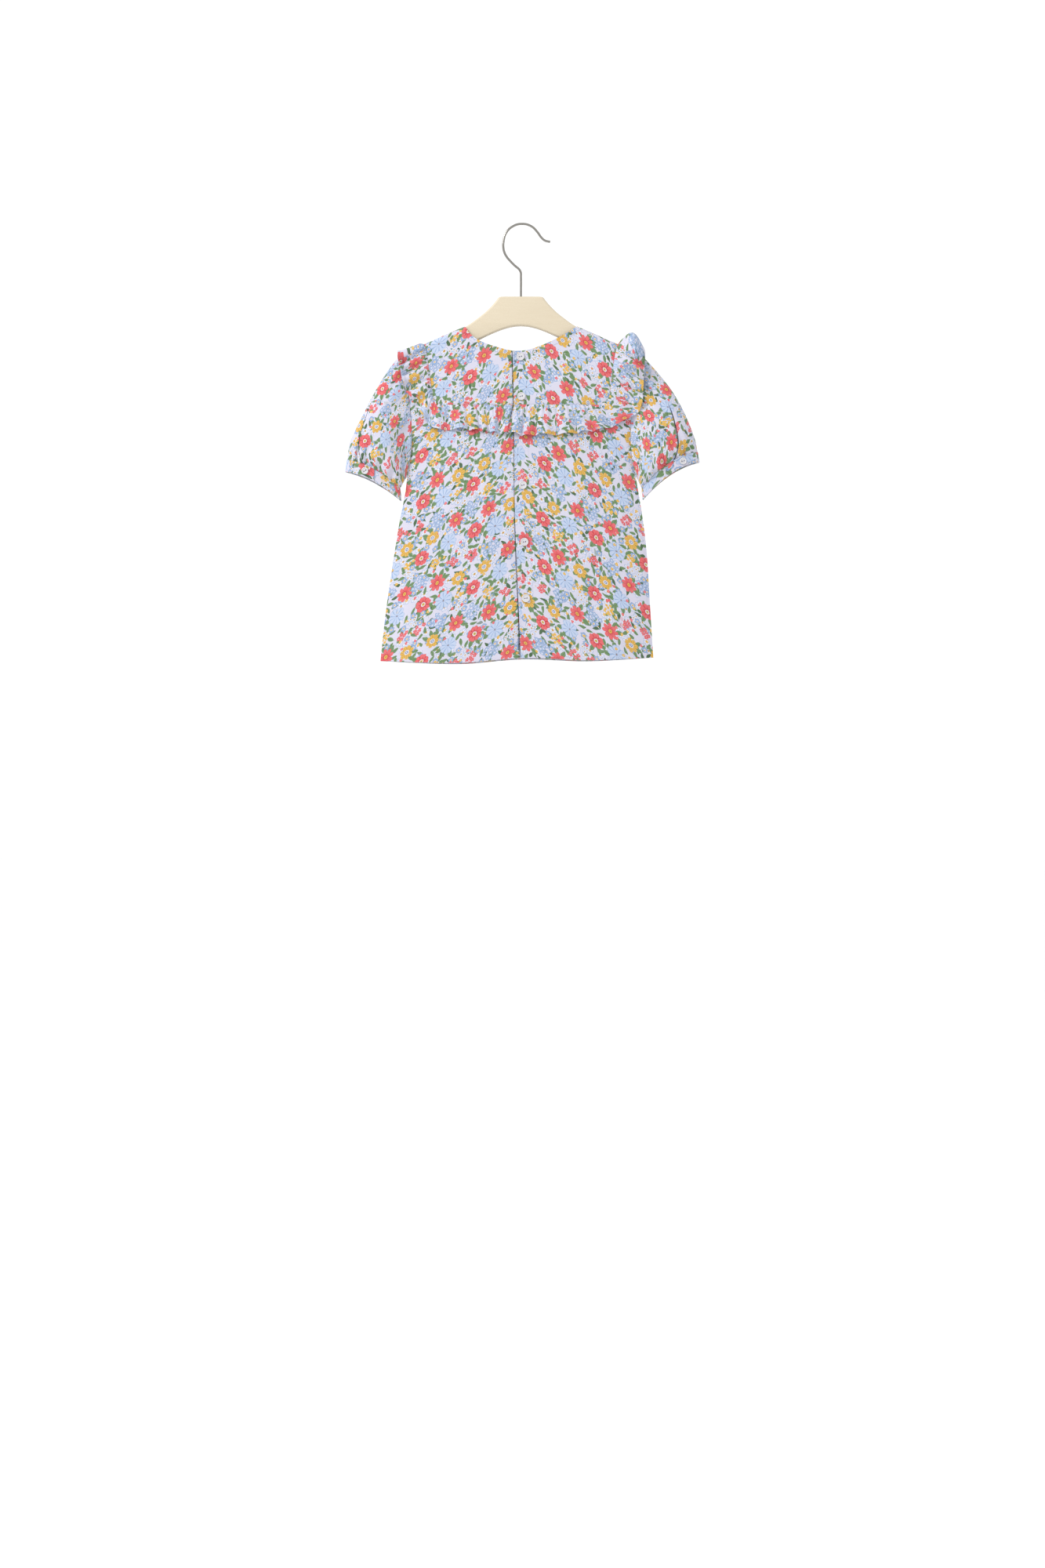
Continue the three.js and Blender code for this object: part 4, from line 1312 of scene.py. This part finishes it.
class BLOUSE_OT_hanger(bpy.types.Operator):
    """Shape the hanger's plate, round its edges and drill the seat of the wire"""

    bl_idname = "blouse.hanger"
    bl_label = "Hanger"

    def execute(self, context):
        outline = hanger_outline()
        bpy.ops.mesh.primitive_circle_add(vertices=len(outline), radius=0.1, fill_type="NGON")
        hanger = context.active_object
        for vertex, (x, z) in zip(hanger.data.vertices, outline):
            vertex.co = Vector((x, -hanger_thickness / 2, z)) * MM
        enter_mode("EDIT")
        bpy.ops.mesh.select_all(action="SELECT")
        across_plate = (0, hanger_thickness * MM, 0)
        bpy.ops.mesh.extrude_region_move(TRANSFORM_OT_translate={"value": across_plate})
        turn_outward()
        select_faces(hanger, lambda centre, normal: abs(normal.y) > 0.9)
        round_rim(2.6, 5, clamp_overlap=False)
        drill_hole(hanger, 24, wire_radius + 0.3, 24, (0, 0, -92.3))
        settle_piece(hanger, "hanger_painted", ["hanger"], "cream_paint")
        show_smooth(hanger, 35)
        return {"FINISHED"}


class BLOUSE_OT_hook(bpy.types.Operator):
    """Bend the wire hook along its line"""

    bl_idname = "blouse.hook"
    bl_label = "Hook"

    def execute(self, context):
        bpy.ops.curve.primitive_nurbs_path_add()
        wire = context.active_object
        wire.data.splines.clear()
        spline = wire.data.splines.new("BEZIER")
        spline.bezier_points.add(len(hook_line) - 1)
        for point, (x, z) in zip(spline.bezier_points, hook_line):
            point.co = Vector((x, 0, z)) * MM
            point.handle_left_type = "AUTO"
            point.handle_right_type = "AUTO"
        wire.data.dimensions = "3D"
        wire.data.resolution_u = 6
        wire.data.bevel_depth = wire_radius * MM
        wire.data.bevel_resolution = 6
        wire.data.use_fill_caps = True
        bpy.ops.object.convert(target="MESH")
        wire = context.active_object
        settle_piece(wire, "hook_wire", ["hook"], "bright_wire")
        recalculate_outside(wire)
        show_smooth(wire, 50)
        return {"FINISHED"}


# Materials


class Number:
    """A number that varies over a surface. Arithmetic on it adds Math nodes."""

    def __init__(self, socket):
        self.socket = socket

    def math(self, operation, *others, clamp=False):
        made = self.socket.id_data.nodes.new("ShaderNodeMath")
        made.operation = operation
        made.use_clamp = clamp
        for slot, value in zip(made.inputs, (self, *others)):
            feed(slot, value)
        return Number(made.outputs[0])

    def __add__(self, other):
        return self.math("ADD", other)

    def __sub__(self, other):
        return self.math("SUBTRACT", other)

    def __mul__(self, other):
        return self.math("MULTIPLY", other)

    def __pow__(self, other):
        return self.math("POWER", other)

    def flipped(self):
        """One minus the number."""
        return self.math("MULTIPLY_ADD", -1, 1)


def feed(slot, value):
    """Sets a socket to a constant, or links it to a number or another node's output."""
    if isinstance(value, Number):
        value = value.socket
    if isinstance(value, bpy.types.NodeSocket):
        slot.id_data.links.new(value, slot)
    else:
        slot.default_value = value


def set_inputs(node, inputs):
    for name, value in inputs.items():
        feed(node.inputs[name], value)


def put(tree, kind, inputs=None, **settings):
    """Adds a node with its settings and inputs."""
    made = tree.nodes.new(kind)
    for name, value in settings.items():
        setattr(made, name, value)
    set_inputs(made, inputs or {})
    return made


def noise_node(tree, place, scale, detail, distortion=0):
    """Noise over a place, its scale in cells to a unit of the place."""
    inputs = {"Vector": place, "Scale": scale, "Detail": detail, "Distortion": distortion}
    return put(tree, "ShaderNodeTexNoise", inputs)


def split_xy(tree, place):
    split = put(tree, "ShaderNodeSeparateXYZ", {0: place})
    return Number(split.outputs["X"]), Number(split.outputs["Y"])


def under(value, edge, soft):
    """A mask that is 1 where value is below the edge, with a soft border."""
    if isinstance(edge, Number):
        return (edge - value).math("MULTIPLY_ADD", 1 / soft, 0.5, clamp=True)
    return value.math("MULTIPLY_ADD", -1 / soft, edge / soft + 0.5, clamp=True)


def paint_over(base, colour, mask):
    """The colour painted over the base where the mask is 1."""
    tree = mask.socket.id_data
    made = tree.nodes.new("ShaderNodeMix")
    made.data_type = "RGBA"
    feed(made.inputs[0], mask)
    for slot, value in ((made.inputs[6], base), (made.inputs[7], colour)):
        if isinstance(value, bpy.types.NodeSocket):
            feed(slot, value)
        else:
            slot.default_value = (*value, 1)
    return made.outputs[2]


def vector_math(tree, operation, *values):
    made = tree.nodes.new("ShaderNodeVectorMath")
    made.operation = operation
    slots = [slot for slot in made.inputs if slot.enabled]
    for slot, value in zip(slots, values):
        feed(slot, value)
    return made.outputs["Value"] if operation == "LENGTH" else made.outputs["Vector"]


# The print repeats as a half-drop: each column of motifs stands half a repeat lower than the last.
# With the drop as wide as a column, the repeat is a square one that is turned by 45 degrees.
column_width = 66
repeat = column_width * math.sqrt(2)

# Places of the large motifs in one repeat: x, y, turn in degrees, radius
chart = {
    "leaf_spray": [
        (12, 16, -70, 17), (30, 36, 60, 17), (57, 30, -15, 15), (10, 76, 190, 16), (24, 96, 100, 15),
        (54, 106, 20, 17), (44, 82, 235, 17), (38, 10, 150, 18), (28, 62, 10, 15),
    ],
    "sky_mallow": [(38, 10, 20, 12), (44, 82, 50, 11)],
    "mist_cluster": [(60, 128, 15, 10), (63, 66, 40, 8)],
    "blue_cluster": [(8, 45, 10, 11.5), (32, 118, 35, 11.5)],
    "gold_sprig": [(28, 62, 0, 8), (57, 8, 30, 6)],
    "coral_sprig": [(50, 54, 20, 8), (8, 119, 60, 7.5)],
    "gold_cosmos": [(57, 30, 10, 9), (24, 96, 40, 8.5)],
    "coral_cosmos": [(30, 36, 5, 10), (54, 106, 30, 9.5)],
    "coral_peony": [(12, 16, 20, 10), (10, 76, 70, 9.5)],
}


def nearest(tree, cloth, places):
    """Coordinates about the nearest of the places, where 1 is the motif's radius."""
    best = None
    half = repeat / 2
    for x, y, turn, radius in places:
        middle = Matrix.Rotation(math.radians(-45), 2) @ Vector((x, y))
        high = (middle.x + half, middle.y + half, 0)
        low = (middle.x - half, middle.y - half, 0)
        folded = vector_math(tree, "WRAP", cloth, high, low)
        inputs = {
            0: folded,
            "Location": (middle.x, middle.y, 0),
            "Rotation": (0, 0, math.radians(turn - 45)),
            "Scale": (radius, radius, radius),
        }
        local = put(tree, "ShaderNodeMapping", inputs, vector_type="TEXTURE").outputs[0]
        if best is None:
            best = local
            continue
        far = Number(vector_math(tree, "LENGTH", local))
        closer = far.math("LESS_THAN", Number(vector_math(tree, "LENGTH", best)))
        chosen = put(tree, "ShaderNodeMix", {0: closer, 4: best, 5: local}, data_type="VECTOR")
        best = chosen.outputs[1]
    return best


def scattered(tree, cloth, spacing, radius, randomness=0.75):
    """Coordinates about scattered points, each turned at random, two random values, and the points."""
    inputs = {"Vector": cloth, "Scale": 1 / spacing, "Randomness": randomness}
    made = put(tree, "ShaderNodeTexVoronoi", inputs, voronoi_dimensions="2D")
    chance = put(tree, "ShaderNodeSeparateColor", {0: made.outputs["Color"]})
    middle = made.outputs["Position"]
    away = vector_math(tree, "SUBTRACT", cloth, middle)
    angle = Number(chance.outputs[0]) * (2 * math.pi)
    turned = put(tree, "ShaderNodeVectorRotate", {"Vector": away, "Angle": angle}, rotation_type="Z_AXIS")
    sized = vector_math(tree, "SCALE", turned.outputs[0], 1 / radius)
    return sized, Number(chance.outputs[1]), Number(chance.outputs[2]), middle


def polar(tree, local):
    """How far a point is from a motif's middle, and the angle there."""
    x, y = split_xy(tree, local)
    return Number(vector_math(tree, "LENGTH", local)), y.math("ARCTAN2", x)


def petal_share(angle, petals):
    """0 along the middle of each petal, and 1 half-way between petals."""
    return (angle * (petals / (2 * math.pi))).math("PINGPONG", 0.5) * 2


# A flower's look, where it isn't given: the gap between its petals, how soft its edges are, the width of
# its outline, and how far its inner colour reaches
usual_look = {"gap": 0.3, "soft": 0.05, "rim": 0.09, "inner_reach": 0.55}
petal_roundness = 2.5
ring_share = 1.5  # of the heart's size, as the eye's share
eye_share = 0.45


def flower(tree, base, local, petals, look, present=None):
    """Paints a flower: petals, their veins and gaps, a heart and its eye."""
    look = {**usual_look, **look}
    soft, heart = look["soft"], look["heart_size"]
    far, angle = polar(tree, local)
    share = petal_share(angle, petals)
    outline = (share ** petal_roundness).math("MULTIPLY_ADD", -look["gap"], 1)
    if "notch" in look:
        outline = outline - (share.flipped() ** 5) * look["notch"]
    shape = under(far, outline, soft)
    if present is not None:
        shape = shape * present
    colour = look["petal"]
    if "inner" in look:
        streaks = (share.flipped() ** 2) * 0.25
        colour = paint_over(colour, look["inner"], under(far, streaks + look["inner_reach"], 0.25))
    if "line" in look:
        rim = under(far, outline - look["rim"], soft).flipped()
        between_petals = under(share, 0.86, 0.08).flipped()
        colour = paint_over(colour, look["line"], rim.math("MAXIMUM", between_petals))
    if "vein" in look:
        vein = under(share, 0.1, 0.08) * under(far, 0.8, 0.1)
        colour = paint_over(colour, look["vein"], vein)
    if "ring" in look:
        colour = paint_over(colour, look["ring"], under(far, heart * ring_share, 0.06))
    colour = paint_over(colour, look["heart"], under(far, heart, 0.06))
    if "eye" in look:
        colour = paint_over(colour, look["eye"], under(far, heart * eye_share, 0.05))
    return paint_over(base, colour, shape)


def cluster(tree, base, cloth, places, spacing, radius, petals, look):
    """Paints round heads of florets: the scattered ones whose middle lies in one of the places."""
    local, _, _, middle = scattered(tree, cloth, spacing, radius, 0.5)
    inside = under(Number(vector_math(tree, "LENGTH", nearest(tree, middle, places))), 0.86, 0.02)
    return flower(tree, base, local, petals, look, inside)


def leaf_spray(tree, base, local, leaf, vein):
    """Paints three leaves that fan out from behind a flower, each with a middle vein."""
    far, angle = polar(tree, local)
    spread = math.radians(46)
    beside = angle.math("WRAP", spread / 2, -spread / 2)
    fan = under(angle.math("ABSOLUTE"), spread * 1.5, 0.03)
    aside = (beside.math("SINE") * far).math("ABSOLUTE")
    along = (far - 0.35).math("MULTIPLY", 1 / 0.65, clamp=True)
    width = ((along * math.pi).math("SINE") ** 0.8) * 0.16
    shape = under(aside, width, 0.03) * fan
    colour = paint_over(leaf, vein, under(aside, 0.012, 0.02))
    return paint_over(base, colour, shape)


def scattered_leaf(tree, base, local, present, leaf, vein):
    """Paints a pointed leaf across each scattered point, if it is present."""
    x, y = split_xy(tree, local)
    along = x.math("MULTIPLY_ADD", 0.5, 0.5, clamp=True)
    aside = y.math("ABSOLUTE")
    width = ((along ** 0.75) * math.pi).math("SINE") * 0.36
    shape = under(aside, width, 0.08) * present
    colour = paint_over(leaf, vein, under(aside, 0.035, 0.05))
    return paint_over(base, colour, shape)


def drawn_by_hand(tree, cloth):
    """Coordinates that wander by a fraction of a millimetre, so that no petal is quite regular."""
    wander = noise_node(tree, cloth, 0.17, 2).outputs[1]
    centred = vector_math(tree, "SUBTRACT", wander, (0.5, 0.5, 0.5))
    return vector_math(tree, "ADD", cloth, vector_math(tree, "SCALE", centred, 2.6))


def draw_print(ground, coral, crimson, gold, sky, blue, leaf, stem):
    """A node group that draws the print at a place on the cloth, in metres."""
    tree = bpy.data.node_groups.new("floral_print", "ShaderNodeTree")
    tree.interface.new_socket("Place", in_out="INPUT", socket_type="NodeSocketVector")
    tree.interface.new_socket("Color", in_out="OUTPUT", socket_type="NodeSocketColor")
    inputs = {0: tree.nodes.new("NodeGroupInput").outputs[0], "Scale": (1 / MM, 1 / MM, 1 / MM)}
    inputs["Rotation"] = (0, 0, math.radians(-45))
    cloth = drawn_by_hand(tree, put(tree, "ShaderNodeMapping", inputs).outputs[0])
    white, amber, slate = (lit(c) for c in ((0.84, 0.85, 0.96), (0.50, 0.26, 0.05), (0.22, 0.28, 0.46)))

    def strewn(base, petals, look, share, *spread):
        """Flowers on scattered points. The share of them is present."""
        local, chance, _, _ = scattered(tree, cloth, *spread)
        return flower(tree, base, local, petals, look, under(chance, share, 0.01))

    def heads(base, motif, spacing, radius, petals, look):
        return cluster(tree, base, cloth, chart[motif], spacing, radius, petals, look)

    def charted(base, motif, petals, look):
        return flower(tree, base, nearest(tree, cloth, chart[motif]), petals, look)

    mist = dict(petal=white, line=blue, rim=0.12, gap=0.42, ring=gold, heart=amber, heart_size=0.2)
    colour = strewn(ground, 5, mist, 0.58, 9.5, 4.8)

    local, chance, other, _ = scattered(tree, cloth, 8.4, 5.4)
    leaf_colour = paint_over(leaf, stem, under(other, 0.2, 0.02))
    colour = scattered_leaf(tree, colour, local, under(chance, 0.66, 0.01), leaf_colour, stem)
    colour = leaf_spray(tree, colour, nearest(tree, cloth, chart["leaf_spray"]), leaf, stem)

    colour = heads(colour, "mist_cluster", 5.2, 3, 5, mist)
    blues = dict(petal=blue, inner=sky, inner_reach=0.42, line=slate, rim=0.05, gap=0.4)
    blues.update(heart=white, heart_size=0.2)
    colour = heads(colour, "blue_cluster", 5.4, 3.2, 5, blues)
    blossom = dict(petal=blue, line=slate, rim=0.05, gap=0.35, ring=white)
    blossom.update(heart=gold, heart_size=0.26, eye=amber)
    colour = strewn(colour, 5, blossom, 0.6, 15, 4, 0.9)
    mallow = dict(petal=sky, line=blue, vein=blue, rim=0.035, gap=0.26, notch=0.12, soft=0.03)
    mallow.update(heart=slate, heart_size=0.1, eye=amber)
    colour = charted(colour, "sky_mallow", 5, mallow)

    bead = dict(petal=gold, gap=0.12, heart=amber, heart_size=0.16)
    colour = heads(colour, "gold_sprig", 3.7, 1.75, 3, bead)
    sprig = dict(petal=coral, inner=crimson, inner_reach=0.25, gap=0.5, heart=white, heart_size=0.16)
    colour = heads(colour, "coral_sprig", 5, 2.9, 5, sprig)
    local, chance, other, _ = scattered(tree, cloth, 9.5, 1.9, 0.9)
    bud_colour = paint_over(gold, coral, under(other, 0.5, 0.02))
    bud = dict(petal=bud_colour, gap=0.25, heart=white, heart_size=0.18)
    colour = flower(tree, colour, local, 3, bud, under(chance, 0.3, 0.01))

    cosmos = dict(petal=gold, line=amber, vein=amber, rim=0.03, gap=0.3, notch=0.06, soft=0.04)
    cosmos.update(ring=white, heart=slate, heart_size=0.22, eye=white)
    colour = charted(colour, "gold_cosmos", 7, cosmos)
    cosmos = dict(petal=coral, inner=crimson, inner_reach=0.26, line=crimson, rim=0.02, gap=0.36)
    cosmos.update(soft=0.04, heart=gold, heart_size=0.22, eye=amber)
    colour = charted(colour, "coral_cosmos", 8, cosmos)
    peony = dict(petal=coral, inner=crimson, inner_reach=0.32, line=crimson, rim=0.02, gap=0.22)
    peony.update(notch=0.14, soft=0.04, ring=white, heart=gold, heart_size=0.18, eye=leaf)
    colour = charted(colour, "coral_peony", 5, peony)

    feed(tree.nodes.new("NodeGroupOutput").inputs[0], colour)
    return tree


def new_material(name):
    """Adds a material, and gives its tree and its surface."""
    material = bpy.data.materials.new(name)
    material.use_nodes = True
    return material.node_tree, material.node_tree.nodes["Principled BSDF"]


def object_place(tree):
    return put(tree, "ShaderNodeTexCoord").outputs["Object"]


def bumped(tree, height, strength, distance):
    """The surface's normals, tilted by a height. The distance is in metres."""
    inputs = {"Height": height, "Strength": strength, "Distance": distance}
    return put(tree, "ShaderNodeBump", inputs).outputs[0]


thread_pitch = 0.00042  # of the weave, in metres


def cotton_material(name, pattern, faded):
    """Printed cotton, or its paler wrong side, with a fine weave."""
    tree, surface = new_material(name)
    place = put(tree, "ShaderNodeUVMap", uv_map="print").outputs[0]
    printed = put(tree, "ShaderNodeGroup", {}, node_tree=pattern)
    feed(printed.inputs[0], place)
    patches = Number(noise_node(tree, place, 160, 3).outputs[0])
    share = patches.math("MULTIPLY_ADD", 0.14, 0.5 if faded else -0.03, clamp=True)
    warp, weft = ((n * (2 * math.pi / thread_pitch)).math("SINE") for n in split_xy(tree, place))
    slub = Number(noise_node(tree, place, 900, 2).outputs[0])
    set_inputs(surface, {
        "Base Color": paint_over(printed.outputs[0], lit((0.84, 0.84, 0.9)), share),
        "Roughness": 0.82,
        "Specular IOR Level": 0.28,
        "Sheen Weight": 0.12,
        "Sheen Roughness": 0.5,
        "Normal": bumped(tree, warp * weft * 0.5 + slub * 1.4, 0.35, 0.00006),
    })


def thread_material(colour):
    tree, surface = new_material("sewing_thread")
    twist = Number(noise_node(tree, object_place(tree), 2500, 1).outputs[0])
    twisted = paint_over(colour, lit((0.45, 0.45, 0.6)), twist * 0.5)
    set_inputs(surface, {"Base Color": twisted, "Roughness": 0.6})


def pearl_material():
    tree, surface = new_material("pearl_button")
    cloud = Number(noise_node(tree, object_place(tree), 260, 3, 1.2).outputs[0])
    share = cloud.math("MULTIPLY_ADD", 2.2, -0.6, clamp=True)
    set_inputs(surface, {
        "Base Color": paint_over(lit((0.88, 0.89, 0.91)), lit((0.74, 0.71, 0.75)), share),
        "Roughness": share.math("MULTIPLY_ADD", 0.12, 0.18),
        "Coat Weight": 0.4,
        "Coat Roughness": 0.12,
    })


def paint_material(colour):
    tree, surface = new_material("cream_paint")
    place = object_place(tree)
    grain = put(tree, "ShaderNodeMapping", {0: place, "Scale": (30, 200, 200)}).outputs[0]
    streaks = Number(noise_node(tree, grain, 2, 4).outputs[0])
    share = streaks.math("MULTIPLY_ADD", 0.7, -0.2, clamp=True)
    darker = tuple(v * f for v, f in zip(colour, (0.9, 0.87, 0.82)))
    fine = Number(noise_node(tree, place, 900, 2).outputs[0])
    set_inputs(surface, {
        "Base Color": paint_over(colour, darker, share),
        "Roughness": share.math("MULTIPLY_ADD", 0.2, 0.45),
        "Normal": bumped(tree, fine + streaks, 0.12, 0.0002),
    })


def chrome_material():
    tree, surface = new_material("bright_wire")
    scuffs = Number(noise_node(tree, object_place(tree), 700, 3).outputs[0])
    set_inputs(surface, {
        "Base Color": paint_over((0.34, 0.33, 0.31), (0.2, 0.19, 0.17), scuffs),
        "Roughness": scuffs.math("MULTIPLY_ADD", 0.2, 0.14),
        "Metallic": 1,
    })


def make_materials():
    chosen = bpy.context.scene.blouse_colours
    names = ("ground", "coral", "crimson", "gold", "sky", "blue", "leaf", "stem")
    pattern = draw_print(*(lit(getattr(chosen, name)) for name in names))
    cotton_material("printed_cotton", pattern, False)
    cotton_material("wrong_side", pattern, True)
    thread_material(lit(chosen.thread))
    pearl_material()
    paint_material(lit(chosen.paint))
    chrome_material()


# Stage

floor_z = -1.75
floor_grey = 0.93
world_strength = 1.08
lamp_energy = 66
lamp_size = 0.9
lamp_place = (-2.1, -1.7, 1.5)
lamp_target = Vector((0, 0, -0.33))
camera_place = (0.002, -3.015, -0.7165)
camera_lens = 54
camera_sensor = 36


class BLOUSE_OT_stage(bpy.types.Operator):
    """Set the pale floor, the soft light and the camera"""

    bl_idname = "blouse.stage"
    bl_label = "Stage"

    def execute(self, context):
        scene = context.scene
        bpy.ops.mesh.primitive_plane_add(size=60, location=(0, 0, floor_z))
        floor = context.active_object
        floor.name = "floor"
        _, surface = new_material("floor")
        set_inputs(surface, {"Base Color": (floor_grey, floor_grey, floor_grey, 1), "Roughness": 0.9})
        floor.data.materials.append(bpy.data.materials["floor"])

        world = bpy.data.worlds.new("soft_white")
        world.use_nodes = True
        set_inputs(world.node_tree.nodes["Background"], {"Color": (1, 1, 1, 1), "Strength": world_strength})
        scene.world = world

        lamp = bpy.data.lights.new("key", "AREA")
        lamp.energy = lamp_energy
        lamp.size = lamp_size
        key = new_object("key", lamp)
        key.location = lamp_place
        key.rotation_euler = (lamp_target - key.location).to_track_quat("-Z", "Y").to_euler()

        lens = bpy.data.cameras.new("camera")
        lens.sensor_width = camera_sensor
        lens.lens = camera_lens
        camera = new_object("camera", lens)
        camera.location = camera_place
        camera.rotation_euler = Euler((math.pi / 2, 0, 0))
        scene.camera = camera
        scene.view_settings.view_transform = "Standard"
        return {"FINISHED"}


class BLOUSE_PT_panel(bpy.types.Panel):
    bl_label = "Blouse"
    bl_space_type = "VIEW_3D"
    bl_region_type = "UI"
    bl_category = "Blouse"

    def draw(self, context):
        for group in (context.scene.blouse_sizes, context.scene.blouse_colours):
            for name in group.__annotations__:
                self.layout.prop(group, name)
        for operator in makers:
            self.layout.operator(operator.bl_idname)


makers = (
    BLOUSE_OT_materials,
    BLOUSE_OT_yokes,
    BLOUSE_OT_panels,
    BLOUSE_OT_sleeves,
    BLOUSE_OT_cuffs,
    BLOUSE_OT_ruffles,
    BLOUSE_OT_buttons,
    BLOUSE_OT_hanger,
    BLOUSE_OT_hook,
    BLOUSE_OT_stage,
)
classes = (BlouseSizes, BlouseColours, *makers, BLOUSE_PT_panel)


def register():
    for item in classes:
        bpy.utils.register_class(item)
    bpy.types.Scene.blouse_sizes = bpy.props.PointerProperty(type=BlouseSizes)
    bpy.types.Scene.blouse_colours = bpy.props.PointerProperty(type=BlouseColours)


def unregister():
    del bpy.types.Scene.blouse_sizes
    del bpy.types.Scene.blouse_colours
    for item in reversed(classes):
        bpy.utils.unregister_class(item)


def main():
    register()
    bpy.ops.blouse.materials()
    bpy.ops.blouse.yokes()
    bpy.ops.blouse.panels()
    bpy.ops.blouse.sleeves()
    bpy.ops.blouse.cuffs()
    bpy.ops.blouse.ruffles()
    bpy.ops.blouse.buttons()
    bpy.ops.blouse.hanger()
    bpy.ops.blouse.hook()
    bpy.ops.blouse.stage()


if __name__ == "__main__":
    main()
